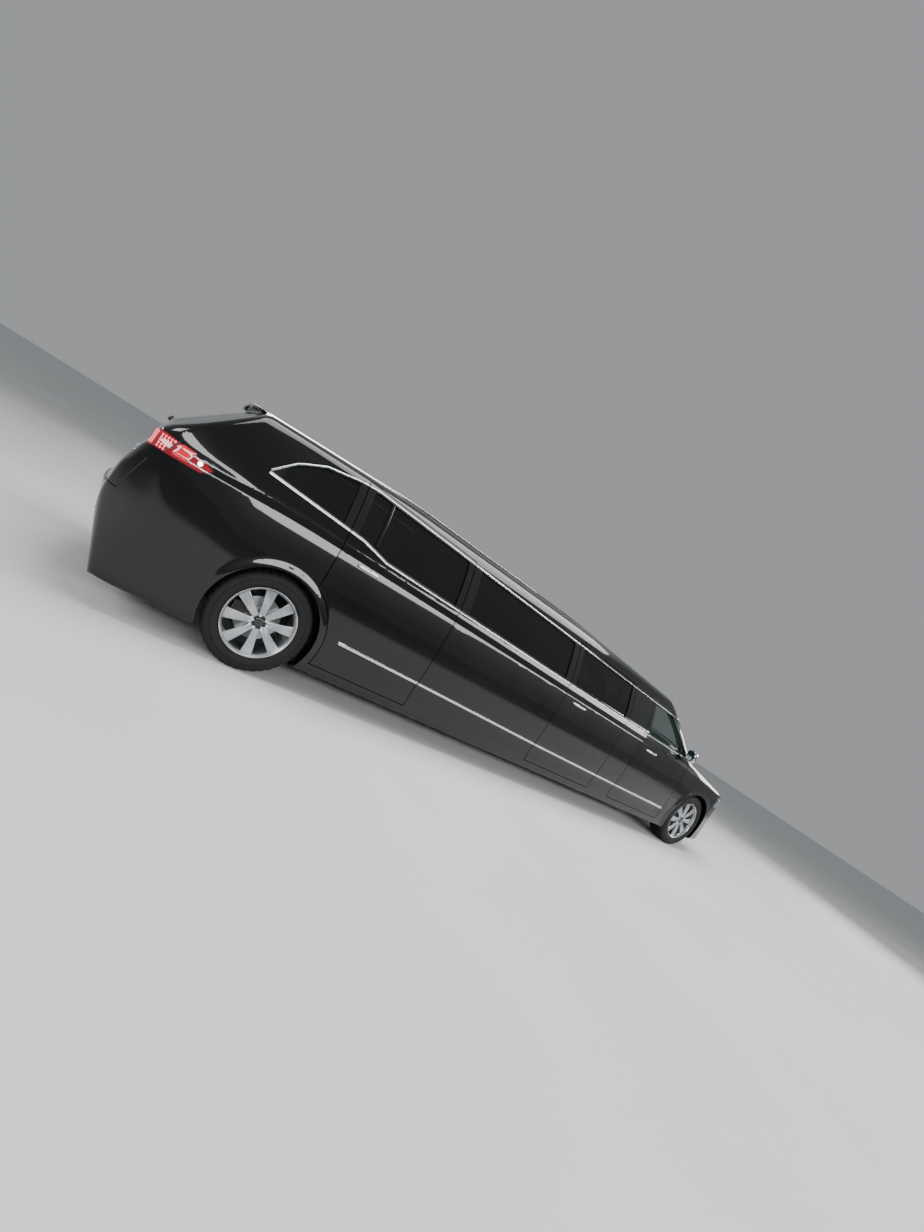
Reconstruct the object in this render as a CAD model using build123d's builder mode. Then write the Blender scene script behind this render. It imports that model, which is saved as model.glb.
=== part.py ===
# A stretch limousine: a tall crossover car lengthened between its axles.
# Millimetres. +X runs to the nose, +Y to the car's left, +Z up. The origin is on the floor,
# under the middle of the car's length and width.

import os
from math import cos, radians, sin, sqrt

from build123d import *

os.makedirs("parts", exist_ok=True)

# Overall sizes
donor_wheelbase = 2995
stretch = 3048
wheelbase = donor_wheelbase + stretch
front_overhang = 978
rear_overhang = 1225
length = front_overhang + wheelbase + rear_overhang
half_width = 965
height = 1745
ground_clearance = 175

nose_x = length / 2
tail_x = -length / 2
front_axle_x = nose_x - front_overhang
rear_axle_x = tail_x + rear_overhang

# Clearances
seat_gap = 0.3
panel_gap = 7

# Wheels and tyres
tyre_radius = 370
tyre_width = 236
tyre_bore_radius = 241
rim_flange_radius = 258
rim_flange_thickness = 9
rim_barrel_wall = 8
track = 1660
wheel_y = track / 2
spoke_count = 8
hub_radius = 66
hub_bore_radius = 30
hub_cap_radius = 34
disc_radius = 160
disc_thickness = 26
arch_radius = 405
liner_wall = 8
liner_gap = 12

# Heights and half widths of the cross-section
sill_y = 915
waist_z = 640
belt_z = 1170
belt_y = 925
rail_z = 1565
rail_y = 748
shoulder_z = 1705
shoulder_y = 575
bulge = 14

# Walls
side_wall = 90
roof_wall = 40
end_wall = 90
skin = 8
inner_inset = 24
fender_wall = 42
bumper_wall = 55
lamp_depth = 60
hood_wall = 28
liftgate_wall = 70
liftgate_skin = 12
liftgate_inset = 34
glass_thickness = 6
glass_depth = 10

# Screens and roof, in the side view on the centre line
windscreen_base_x = front_axle_x - 343
windscreen_base_z = 1140
windscreen_top_x = front_axle_x - 1145
windscreen_top_z = 1650
windscreen_sag = 130
back_base_x = rear_axle_x - 1105
back_base_z = 1200
back_top_x = rear_axle_x - 595
back_top_z = 1655
back_sag = 50
sag_half_chord = 820
roof_front_x = rear_axle_x + 2900
roof_rear_x = rear_axle_x + 700
roof_drop = height - back_top_z
roof_crown = 70
hood_rear_z = 1152
hood_front_z = 1005
hood_front_x = nose_x - 360
nose_top_z = 885
hood_crown = 78
reach = 2600

# The waist line under the side windows
belt_front_z = 1098
belt_rear_z = 1190
kick_front_x = rear_axle_x + 568
kick_rear_x = rear_axle_x + 337
kick_z = 1243
tip_x = rear_axle_x - 443
tip_z = 1292
window_head_rear_z = 1598
window_head_front_z = 1430
door_head_rise = 36
frame_width = 62
pillar_edge_y = 750
pillar_cover = 55
quarter_pillar = 70
quarter_low_x = rear_axle_x - 302
quarter_low_z = 1430
quarter_high_x = rear_axle_x - 122
quarter_high_z = 1524
quarter_front_z = 1580
windscreen_low = 28
windscreen_high = 50
windscreen_low_half = 706
windscreen_high_half = 622
back_low = 78
back_high = 70
back_low_half = 640
back_high_half = 545

# Doors and the fixed panels between them
door_foot_z = 262
rear_door_back_x = rear_axle_x + 215
rear_door_front_x = rear_axle_x + 1345
fifth_door_back_x = rear_axle_x + 2900
fifth_door_front_x = rear_axle_x + 3960
pillar_half = 95
cabin_low_y = 520
front_door_back_x = front_axle_x - 1690
front_door_front_x = front_axle_x - 610
wing_door_z = 1040
door_arch_gap = 62
hinge_low_z = (430, 830)
hinge_tall = 60
hinge_in_y = 885
hinge_out_y = 912
handle_rear_z = 1066
handle_front_z = 928
handle_set = 255
handle_long = 190
handle_out = 34
handle_sink = 22
mirror_x = front_axle_x - 800
mirror_z = 1160
mirror_in_y = 985
mirror_out_y = 1088
seam_y = 590
door_low_y = seam_y + panel_gap

# Nose and tail panels
bumper_top_z = 690
nose_split_z = 725
hood_rear_x = windscreen_base_x + 62
hood_straight_x = hood_rear_x + 160
hood_rear_y = 770
hood_nose_x = nose_x - 150
hood_nose_y = 560
lamp_high_z = 862
lamp_inner_y = 505
lamp_reach = 470
bumper_wrap = 150
grille_y = 495
grille_low_z = 455
grille_high_z = 850
grille_bars = 34
grille_bar = 9
grille_frame = 22
grille_post = 30
grille_set = 6
grille_deep = 36
intake_half = 430
intake_low_z = 255
intake_high_z = 385
spoiler_out = 85
plate_out = 89
plate_recess = 6
plate_margin = 40
plate_half = 155
plate_tall = 155
plate_low_z = 770
light_bar_deep = 38
light_bar_top = 14
spoiler_half = 540
cowl_z = 1010
liftgate_foot_z = 712
liftgate_foot_y = 740
liftgate_waist_y = 800
liftgate_head_y = 580
liftgate_front_x = back_top_x + 10
tail_lamp_low_z = 1035
tail_lamp_high_z = 1150
tail_lamp_tip_x = rear_axle_x - 718

# Structure
floor_z = 215
floor_thickness = 40
rear_floor_z = 500
kick_up_x = rear_axle_x + 440
firewall_x = front_axle_x - 500
firewall_z = 960
floor_back = 160
rear_tub_y = 630
liner_foot_z = 330
front_liner_radius = 440
front_tub_y = 430
beam_back = 200
beam_thick = 50
beam_half = 560
hinge_post_depth = 110
hinge_post_z = 1030
rail_in_y = 345
rail_wide = 90
rail_low_z = 450
rail_tall = 120

# Joints
kingpin_y = 745
knuckle_low = 160
knuckle_high = 175
arm_thick = 22
cradle_half = 330
strut_y = 585
rear_strut_y = 560
coil_radius = 52
strut_radius = 26
spindle_radius = 29
spindle_end_y = 850
disc_y = 782
spoke_out = 84
spoke_thick = 24
spoke_in_half = 22
spoke_out_half = 40
spoke_turn = 8

# Engine bay, exhaust and inside
engine_back = 160
engine_front = 380
engine_low_z = 300
engine_high_z = 880
radiator_low_z = 400
radiator_high_z = 800
exhaust_y = -180
exhaust_z = 182
silencer_z = 330
hangers_x = (-1200, 0, 1200)
exhaust_radius = 30
driver_y = 380
dash_half = 740
dash_low_z = 640
dash_high_z = 1010
front_seat_x = front_axle_x - 1560
head_rest_half = 130
head_rest_tall = 165
rear_seat_x = rear_axle_x + 560
side_bench_back_x = rear_axle_x + 1560
side_bench_front_x = rear_axle_x + 3800
partition_x = rear_axle_x + 4150
cabinet_back_x = rear_axle_x + 1500
cabinet_front_x = rear_axle_x + 2850


def section_prism(side):
    # The cross-section that the whole car shares, drawn in by side
    with BuildPart() as prism:
        with BuildSketch(Plane.YZ):
            with BuildLine():
                foot = (sill_y - side, 0)
                belt = (belt_y - side, belt_z)
                rail = (rail_y - side, rail_z)
                shoulder = (shoulder_y - side, shoulder_z)
                Line((0, -reach), (sill_y - side, -reach))
                Line((sill_y - side, -reach), foot)
                ThreePointArc(foot, (half_width - side, waist_z), belt)
                ThreePointArc(belt, ((belt_y + rail_y) / 2 + bulge - side, (belt_z + rail_z) / 2), rail)
                ThreePointArc(rail, (rail_y - 68 - side, rail_z + 88), shoulder)
                Line(shoulder, (shoulder_y - side, reach))
                Line((shoulder_y - side, reach), (0, reach))
                Line((0, reach), (0, -reach))
            make_face()
            mirror(about=Plane.YZ)
        extrude(amount=reach * 2, both=True)
    return prism.part


def outside_crowned(start, end, sag, shift, outward):
    # Everything outside a surface from start to end in the side view, crowned across the car
    run = sqrt((end[0] - start[0]) ** 2 + (end[1] - start[1]) ** 2)
    way = Vector((end[0] - start[0]) / run, 0, (end[1] - start[1]) / run)
    plane = Plane(origin=(start[0], 0, start[1]), x_dir=(0, 1, 0), z_dir=way)
    half = half_width + 100
    low = -outward * (sag * (half / sag_half_chord) ** 2 + shift)
    with BuildPart() as outside:
        with BuildSketch(plane.offset(-reach)):
            with BuildLine():
                ThreePointArc((-half, low), (0, -outward * shift), (half, low))
                Polyline((half, low), (half, outward * reach), (-half, outward * reach), (-half, low))
            make_face()
        extrude(amount=2 * reach + run)
    return outside.part


def plan_outline(end, side):
    # The plan outline: straight flanks, rounded corners and bowed ends
    with BuildPart() as plan:
        with BuildSketch(Plane.XY):
            with BuildLine():
                nose = nose_x - end
                tail = tail_x + end
                wide = half_width + 2 - side
                front = (front_axle_x + 120, wide)
                back = (rear_axle_x - 220, wide)
                front_corner = (nose - 400, 902 - side)
                nose_corner = (nose - 95, 640 - side)
                tail_corner = (tail + 62, 660 - side)
                back_corner = (tail + 400, 908 - side)
                Line(back, front)
                ThreePointArc(front, (nose - 610, 951 - side), front_corner)
                ThreePointArc(front_corner, (nose - 190, 800 - side), nose_corner)
                ThreePointArc(nose_corner, (nose - 22, 320), (nose, 0))
                Line((nose, 0), (tail, 0))
                ThreePointArc((tail, 0), (tail + 14, 340), tail_corner)
                ThreePointArc(tail_corner, (tail + 196, 818 - side), back_corner)
                ThreePointArc(back_corner, (tail + 690, 950 - side), back)
            make_face()
            mirror(about=Plane.XZ)
        extrude(amount=reach, both=True)
    return plan.part


def side_outline(end, low):
    # The side silhouette of nose, underside and tail, below the hood and the rear screen
    with BuildPart() as profile:
        with BuildSketch(Plane.XZ):
            with BuildLine():
                nose = nose_x - end
                tail = tail_x + end
                under = ground_clearance + low
                Line((nose - 62, reach), (nose - 62, 900))
                ThreePointArc((nose - 62, 900), (nose - 10, 660), (nose, 470))
                ThreePointArc((nose, 470), (nose - 22, 310), (nose - 105, under))
                Line((nose - 105, under), (tail + 215, under))
                ThreePointArc((tail + 215, under), (tail + 128, 400), (tail + 14, 664))
                Polyline(
                    (tail + 14, 664), (tail, 684), (tail + 30, 704), (tail + 56, 830),
                    (tail + 110, 1000), (tail + 140, 1066), (tail + 142, 1130), (tail + 172, 1209),
                    (tail + 172, reach), (nose - 62, reach),
                )
            make_face()
        extrude(amount=reach, both=True)
    return profile.part


def form(side=0, top=0, end=0, low=0):
    # The whole car as one solid, drawn in by side, top, end and low
    windscreen = outside_crowned(
        (windscreen_base_x, windscreen_base_z), (windscreen_top_x, windscreen_top_z), windscreen_sag, top, -1
    )
    back_screen = outside_crowned((back_base_x, back_base_z), (back_top_x, back_top_z), back_sag, top, 1)
    roof_front = outside_crowned(
        (windscreen_top_x, windscreen_top_z), (roof_front_x, height), roof_crown, top, -1
    )
    roof_middle = outside_crowned((roof_front_x, height), (roof_rear_x, height), roof_crown, top, -1)
    roof_rear = outside_crowned(
        (roof_rear_x, height), (back_top_x, height - roof_drop), roof_crown, top, -1
    )
    hood_main = outside_crowned(
        (windscreen_base_x, hood_rear_z), (hood_front_x, hood_front_z), hood_crown, top, 1
    )
    hood_nose = outside_crowned((hood_front_x, hood_front_z), (nose_x - 60, nose_top_z), hood_crown, top, 1)
    with BuildPart() as above_hood:
        add(hood_main)
        add(hood_nose)
        add(windscreen, mode=Mode.INTERSECT)
    with BuildPart() as body:
        add(section_prism(side))
        add(plan_outline(end, side), mode=Mode.INTERSECT)
        add(side_outline(end, low), mode=Mode.INTERSECT)
        for outside in (roof_middle, roof_front, roof_rear, back_screen, above_hood.part):
            add(outside, mode=Mode.SUBTRACT)
    return body.part


def side_prism(points, y_low, y_high):
    # A block whose outline is drawn in the side view
    with BuildPart() as prism:
        with BuildSketch(Plane.XZ.offset(-y_high)):
            with BuildLine():
                Polyline(*points, close=True)
            make_face()
        extrude(amount=y_high - y_low)
    return prism.part


def tail_prism(points, x_low, x_high):
    # A block whose outline is drawn looking along the car, with the points given as (y, z)
    with BuildPart() as prism:
        with BuildSketch(Plane.YZ.offset(x_low)):
            with BuildLine():
                Polyline(*points, close=True)
            make_face()
        extrude(amount=x_high - x_low)
    return prism.part


def plan_prism(points, z_low, z_high):
    # A block whose outline is drawn from above
    with BuildPart() as prism:
        with BuildSketch(Plane.XY.offset(z_low)):
            with BuildLine():
                Polyline(*points, close=True)
            make_face()
        extrude(amount=z_high - z_low)
    return prism.part


def block(x_low, x_high, y_low, y_high, z_low, z_high):
    return plan_prism([(x_low, y_low), (x_high, y_low), (x_high, y_high), (x_low, y_high)], z_low, z_high)


def cross_cylinder(x, z, radius, y_low, y_high):
    # A cylinder that lies across the car
    with BuildPart() as cylinder:
        with BuildSketch(Plane.XZ.offset(-y_high)):
            with Locations((x, z)):
                Circle(radius)
        extrude(amount=y_high - y_low)
    return cylinder.part


def both_sides(points):
    # A closed outline from its half with y above zero, listed from the bottom up
    return points + [(-y, z) for y, z in reversed(points)]


def screen_prism(base_x, base_z, top_x, top_z, outward_x, low_half, high_half, low, high, inset):
    # The hole for a screen, square to its slope
    run = sqrt((top_x - base_x) ** 2 + (top_z - base_z) ** 2)
    normal = (outward_x * (top_z - base_z) / run, 0, outward_x * (base_x - top_x) / run)
    plane = Plane(origin=(base_x, 0, base_z), x_dir=(0, outward_x, 0), z_dir=normal)
    with BuildPart() as hole:
        with BuildSketch(plane):
            with BuildLine():
                Polyline(
                    (-low_half + inset, low + inset),
                    (low_half - inset, low + inset),
                    (high_half - inset, run - high - inset),
                    (-high_half + inset, run - high - inset),
                    close=True,
                )
            make_face()
        extrude(amount=260, both=True)
    return hole.part


def windscreen_hole(inset=0):
    return screen_prism(
        windscreen_base_x, windscreen_base_z, windscreen_top_x, windscreen_top_z, 1,
        windscreen_low_half, windscreen_high_half, windscreen_low, windscreen_high, inset,
    )


def back_hole(inset=0):
    return screen_prism(
        back_base_x, back_base_z, back_top_x, back_top_z, -1,
        back_low_half, back_high_half, back_low, back_high, inset,
    )


def pillar_line_x(z, offset):
    # Where a line parallel to the windscreen's edge, offset inwards, stands at a height
    run = sqrt((windscreen_top_x - windscreen_base_x) ** 2 + (windscreen_top_z - windscreen_base_z) ** 2)
    way_x = (windscreen_top_x - windscreen_base_x) / run
    way_z = (windscreen_top_z - windscreen_base_z) / run
    depth = windscreen_sag * (pillar_edge_y / sag_half_chord) ** 2 + offset
    foot_x = windscreen_base_x - way_z * depth
    foot_z = windscreen_base_z + way_x * depth
    return foot_x + way_x * (z - foot_z) / way_z


def pillar_line_z(x, offset):
    # The height at which that line passes a place along the car
    rise = pillar_line_x(1, offset) - pillar_line_x(0, offset)
    return (x - pillar_line_x(0, offset)) / rise


def waist(x):
    # The lower edge of the side windows ahead of the kick
    share = (x - kick_front_x) / (front_door_front_x - kick_front_x)
    return belt_rear_z + share * (belt_front_z - belt_rear_z)


def window_head(x):
    # The upper edge of the side windows, which falls gently to the front
    share = (x - kick_rear_x) / (front_door_front_x - kick_rear_x)
    return window_head_rear_z + share * (window_head_front_z - window_head_rear_z)


def door_outline(back, front, inset):
    # A door's outline in the side view; the front doors' upper corner follows the windscreen pillar
    left = back + inset
    right = front - inset
    foot = door_foot_z + inset
    rise = door_head_rise - inset
    cover = pillar_cover + inset
    if front > fifth_door_front_x + 1:
        corner_z = window_head(pillar_line_x(window_head(left), cover)) + rise
        return [
            (left, foot), (right, foot), (right, pillar_line_z(right, cover)),
            (pillar_line_x(corner_z, cover), corner_z), (left, window_head(left) + rise),
        ]
    return [(left, foot), (right, foot), (right, window_head(right) + rise), (left, window_head(left) + rise)]


def window_outline(back, front, inset):
    # A door window, or a fixed one ahead of the rear wheels
    left = back + inset
    right = front - inset
    if front > fifth_door_front_x + 1:
        cover = pillar_cover + frame_width + inset
        foot_x = pillar_line_x(waist(right) + inset, cover)
        corner_z = window_head(pillar_line_x(window_head(left), cover)) - inset
        return [
            (left, waist(left) + inset), (foot_x, waist(foot_x) + inset),
            (pillar_line_x(corner_z, cover), corner_z), (left, window_head(left) - inset),
        ]
    if back < kick_rear_x:
        return [
            (left, kick_z + inset), (kick_rear_x, kick_z + inset), (kick_front_x, belt_rear_z + inset),
            (right, waist(right) + inset), (right, window_head(right) - inset),
            (left, window_head(left) - inset),
        ]
    return [
        (left, waist(left) + inset), (right, waist(right) + inset),
        (right, window_head(right) - inset), (left, window_head(left) - inset),
    ]


def quarter_outline(inset):
    # The window behind the rear door, which runs out to a point
    front = rear_door_back_x - quarter_pillar - inset
    return [
        (tip_x + 3 * inset, tip_z + inset), (front, kick_z + 12 + inset), (front, quarter_front_z - inset),
        (quarter_high_x, quarter_high_z - inset), (quarter_low_x + inset, quarter_low_z - inset),
    ]


outer_form = form()
cabin_form = form(side_wall, roof_wall, end_wall, -reach)
structure_form = form(side_wall + seat_gap, roof_wall + seat_gap, end_wall + seat_gap, -reach)
bumper_form = form(bumper_wall, roof_wall, bumper_wall, -reach)
fender_form = form(fender_wall, hood_wall, fender_wall, -reach)

windscreen_gap_prism = windscreen_hole()
back_gap_prism = back_hole()
front_arch = cross_cylinder(front_axle_x, tyre_radius, arch_radius, -2 * half_width, 2 * half_width)
rear_arch = cross_cylinder(rear_axle_x, tyre_radius, arch_radius, -2 * half_width, 2 * half_width)


def liftgate_region(inset):
    return tail_prism(
        both_sides([
            (liftgate_foot_y - inset, liftgate_foot_z + inset),
            (liftgate_waist_y - inset, 960),
            (liftgate_waist_y - inset, back_base_z),
            (liftgate_head_y - inset, back_top_z),
            (liftgate_head_y - inset, height + 40),
        ]),
        tail_x - 100, liftgate_front_x - inset,
    )


def tail_lamp_region(inset):
    return side_prism(
        [
            (tail_x - 20, tail_lamp_low_z + inset),
            (tail_lamp_tip_x - 60 - inset, tail_lamp_low_z + 14 + inset),
            (tail_lamp_tip_x - inset, tail_lamp_low_z + 68),
            (tail_lamp_tip_x - 60 - inset, tail_lamp_low_z + 84 - inset),
            (tail_lamp_tip_x - 300, tail_lamp_high_z - inset),
            (tail_x - 20, tail_lamp_high_z - inset),
        ],
        -2 * half_width, 2 * half_width,
    )


def headlamp_region(inset, side):
    return block(
        nose_x - lamp_reach + inset, nose_x + 50, *span(side, lamp_inner_y + inset, 2 * half_width),
        nose_split_z + inset, lamp_high_z - inset,
    )


def headlamp_both(inset):
    with BuildPart() as pair:
        for side in (-1, 1):
            add(headlamp_region(inset, side))
    return pair.part


def bumper_front_region(inset):
    low = tail_prism(
        [(-1100, 0), (1100, 0), (1100, nose_split_z - inset), (-1100, nose_split_z - inset)],
        front_axle_x + bumper_wrap, nose_x + 50,
    )
    centre = block(nose_x - 400, nose_x + 50, -grille_y - 6, grille_y + 6, nose_split_z - 40, lamp_high_z)
    with BuildPart() as region:
        add(low)
        add(centre)
    return region.part


def grille_region(inset):
    return block(
        nose_x - 300, nose_x + 50, -grille_y + inset, grille_y - inset,
        grille_low_z + inset, grille_high_z - inset,
    )


def hood_region(inset):
    # Seen from above, the hood narrows to the nose
    return plan_prism(
        [
            (hood_rear_x + inset, -hood_rear_y + inset), (hood_straight_x, -hood_rear_y + inset),
            (hood_nose_x, -hood_nose_y + inset), (nose_x + 50, -hood_nose_y + inset),
            (nose_x + 50, hood_nose_y - inset), (hood_nose_x, hood_nose_y - inset),
            (hood_straight_x, hood_rear_y - inset), (hood_rear_x + inset, hood_rear_y - inset),
        ],
        lamp_high_z + inset, height,
    )


# Columns: name, side (1 left, -1 right), back edge, front edge
doors = [
    ("front_door_left", 1, front_door_back_x, front_door_front_x),
    ("front_door_right", -1, front_door_back_x, front_door_front_x),
    ("rear_door_left", 1, rear_door_back_x, rear_door_front_x),
    ("rear_door_right", -1, rear_door_back_x, rear_door_front_x),
    ("middle_door_right", -1, fifth_door_back_x, fifth_door_front_x),
]

# Columns: side, back edge, front edge
fixed_windows = [
    (-1, rear_door_front_x + pillar_half, fifth_door_back_x - pillar_half),
    (1, rear_door_front_x + pillar_half, fifth_door_back_x - pillar_half),
    (1, fifth_door_back_x + pillar_half, fifth_door_front_x - pillar_half / 2),
]


def span(side, low, high):
    # Limits across the car for a prism on one side
    return (low, high) if side > 0 else (-high, -low)


def door_shape(back, front, side, inset):
    # The rear doors' lower back corner goes round the wheel arch
    with BuildPart() as shape:
        add(side_prism(door_outline(back, front, inset), *span(side, door_low_y + inset, 2 * half_width)))
        if back < kick_rear_x:
            add(
                cross_cylinder(
                    rear_axle_x, tyre_radius, arch_radius + door_arch_gap + inset,
                    *span(side, 0, 3 * half_width),
                ),
                mode=Mode.SUBTRACT,
            )
    return shape.part


def window_prism(back, front, side, inset):
    return side_prism(window_outline(back, front, inset), *span(side, cabin_low_y, 2 * half_width))


# Floor, firewall and rear wheelhouses
floor_top = floor_z + floor_thickness
rear_floor_top = rear_floor_z + floor_thickness
floor_rear_x = kick_up_x + floor_thickness
floor_plate = block(
    floor_rear_x, firewall_x - floor_thickness - seat_gap, -half_width, half_width, floor_z, floor_top
)
rear_floor_plates = side_prism(
    [
        (floor_rear_x - seat_gap, floor_z), (floor_rear_x - seat_gap, rear_floor_top),
        (tail_x + floor_back, rear_floor_top), (tail_x + floor_back, rear_floor_z),
        (kick_up_x, rear_floor_z), (kick_up_x, floor_z),
    ],
    -half_width, half_width,
)
firewall = block(firewall_x - floor_thickness, firewall_x, -half_width, half_width, floor_z, firewall_z)
liner_radius = arch_radius + liner_gap


def wheelhouse(axle_x, side, radius, inner_y, inner_wall):
    # The half tub over a wheel, with or without the wall on its inner side
    with BuildPart() as tub:
        add(cross_cylinder(axle_x, tyre_radius, radius + liner_wall, *span(side, inner_y, half_width)))
        add(
            cross_cylinder(axle_x, tyre_radius, radius, *span(side, inner_y + inner_wall, 2 * half_width)),
            mode=Mode.SUBTRACT,
        )
        add(
            block(
                axle_x - 2 * radius, axle_x + 2 * radius, *span(side, 0, 2 * half_width),
                -reach, liner_foot_z,
            ),
            mode=Mode.SUBTRACT,
        )
    return tub.part


rear_tubs = [wheelhouse(rear_axle_x, side, liner_radius, rear_tub_y, liner_wall) for side in (-1, 1)]
front_tubs = [wheelhouse(front_axle_x, side, front_liner_radius, front_tub_y, -1) for side in (-1, 1)]
rear_wells = [
    cross_cylinder(rear_axle_x, tyre_radius, liner_radius + 1, *span(side, rear_tub_y, 2 * half_width))
    for side in (-1, 1)
]
front_rails = [
    block(
        firewall_x - 1, nose_x - beam_back, *span(side, rail_in_y, rail_in_y + rail_wide),
        rail_low_z, rail_low_z + rail_tall,
    )
    for side in (-1, 1)
]
bumper_beam = block(
    nose_x - beam_back - 10, nose_x - beam_back + beam_thick, -beam_half, beam_half,
    rail_low_z, rail_low_z + rail_tall,
)
with BuildPart() as floor_pan:
    add(floor_plate)
    add(structure_form, mode=Mode.INTERSECT)
floor_pan.part.label = "floor_pan"
export_step(floor_pan.part, "parts/floor_pan.step")

# The raised floor over the rear axle, with its wheelhouses
with BuildPart() as rear_floor:
    add(rear_floor_plates)
    for well in rear_wells:
        add(well, mode=Mode.SUBTRACT)
    for tub in rear_tubs:
        add(tub)
    add(structure_form, mode=Mode.INTERSECT)
rear_floor.part.label = "rear_floor"
export_step(rear_floor.part, "parts/rear_floor.step")

# Firewall, front rails with the bumper beam and the front wheelhouses
with BuildPart() as front_structure:
    add(firewall)
    for tub in front_tubs:
        add(tub)
    add(structure_form, mode=Mode.INTERSECT)
    for rail in front_rails:
        add(rail)
    add(bumper_beam)
front_structure.part.label = "front_structure"
export_step(front_structure.part, "parts/front_structure.step")


# Body sides, with the pillars, sills, door openings and window openings
def body_side(side):
    left_x = tail_x - 50
    door_list = [door for door in doors if door[1] == side]
    windows = [window for window in fixed_windows if window[0] == side]
    main = block(
        left_x, front_door_front_x + panel_gap, *span(side, seam_y + seat_gap, 2 * half_width), 0, 2 * height
    )
    hinge_post = block(
        front_door_front_x + panel_gap - 1, front_door_front_x + hinge_post_depth,
        *span(side, seam_y + seat_gap, 2 * half_width), ground_clearance, hinge_post_z,
    )
    rear_low = block(left_x, rear_axle_x - 200, *span(side, 0, 2 * half_width), -10, bumper_top_z + seat_gap)
    with BuildPart() as hinge_side:
        add(fender_inner_form)
        add(cabin_form, mode=Mode.SUBTRACT)
        add(hinge_post, mode=Mode.INTERSECT)
    with BuildPart() as shell:
        add(outer_form)
        add(cabin_form, mode=Mode.SUBTRACT)
        add(main, mode=Mode.INTERSECT)
        add(hinge_side.part)
        add(windscreen_gap_prism, mode=Mode.SUBTRACT)
        add(liftgate_region(-panel_gap), mode=Mode.SUBTRACT)
        add(rear_low, mode=Mode.SUBTRACT)
        add(tail_lamp_region(-seat_gap), mode=Mode.SUBTRACT)
        add(rear_arch, mode=Mode.SUBTRACT)
        for _, _, back, front in door_list:
            add(door_shape(back, front, side, -panel_gap), mode=Mode.SUBTRACT)
        for _, back, front in windows:
            add(window_prism(back, front, side, 0), mode=Mode.SUBTRACT)
        add(side_prism(quarter_outline(0), *span(side, cabin_low_y, 2 * half_width)), mode=Mode.SUBTRACT)
    return shell.part


fender_inner_form = form(fender_wall + seat_gap, hood_wall + seat_gap, fender_wall + seat_gap, -reach)
with BuildPart() as body_side_left:
    add(body_side(1))
body_side_left.part.label = "body_side_left"
export_step(body_side_left.part, "parts/body_side_left.step")

with BuildPart() as body_side_right:
    add(body_side(-1))
body_side_right.part.label = "body_side_right"
export_step(body_side_right.part, "parts/body_side_right.step")


# Doors: an outer skin, an inner box that is set in from its edges, a window opening and a handle
skin_form = form(skin, roof_wall, end_wall, -reach)
glass_outer_form = form(glass_depth, glass_depth, glass_depth, 0)
glass_inner_form = form(glass_depth + glass_thickness, glass_depth + glass_thickness, glass_depth, -reach)


def handle(x, side):
    # A grip that stands off the door on two feet; the grips' height falls to the front with the waist
    y = half_width - handle_sink
    share = (x - kick_rear_x) / (front_door_front_x - kick_rear_x)
    z = handle_rear_z + share * (handle_front_z - handle_rear_z)
    left = x - handle_long / 2
    right = x + handle_long / 2
    with BuildPart() as grip:
        add(block(left, right, *span(side, y + handle_out - 12, y + handle_out), z - 14, z + 14))
        for foot_x in (left + 16, right - 16):
            add(block(foot_x - 14, foot_x + 14, *span(side, y - 50, y + handle_out - 6), z - 11, z + 11))
    return grip.part


def mirror_head(side):
    # The door mirror's housing on its foot
    with BuildPart() as head:
        add(
            block(
                mirror_x - 46, mirror_x + 46, *span(side, mirror_in_y, mirror_out_y),
                mirror_z - 68, mirror_z + 68,
            )
        )
        fillet(head.edges().filter_by(Axis.Z), 30)
        add(
            block(
                mirror_x - 30, mirror_x + 26, *span(side, mirror_in_y - 105, mirror_in_y + 30),
                mirror_z - 100, mirror_z - 62,
            )
        )
    return head.part


def door_panel(back, front, side):
    opening = window_prism(back + frame_width, front - frame_width, side, 0)
    with BuildPart() as outer_skin:
        add(outer_form)
        add(skin_form, mode=Mode.SUBTRACT)
        add(door_shape(back, front, side, 0), mode=Mode.INTERSECT)
    with BuildPart() as inner_box:
        add(skin_inner_form)
        add(cabin_form, mode=Mode.SUBTRACT)
        add(door_shape(back, front, side, inner_inset), mode=Mode.INTERSECT)
    with BuildPart() as panel:
        add(outer_skin.part)
        add(inner_box.part)
        for low_z in hinge_low_z:
            add(
                block(
                    front - inner_inset - 1, front + panel_gap - seat_gap,
                    *span(side, hinge_in_y, hinge_out_y), low_z, low_z + hinge_tall,
                )
            )
        add(handle(back + handle_set, side))
        add(cabin_form, mode=Mode.SUBTRACT)
        add(opening, mode=Mode.SUBTRACT)
        if front > fifth_door_front_x + 1:
            add(mirror_head(side))
    return panel.part


def door_pane(back, front, side):
    with BuildPart() as pane:
        add(glass_outer_form)
        add(glass_inner_form, mode=Mode.SUBTRACT)
        add(window_prism(back + frame_width, front - frame_width, side, seat_gap), mode=Mode.INTERSECT)
    return pane.part


skin_inner_form = form(skin - 1, roof_wall, end_wall, -reach)
door_panels = {}
door_panes = {}
for name, side, back, front in doors:
    door_panels[name] = door_panel(back, front, side)
    door_panes[name] = door_pane(back, front, side)

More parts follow.
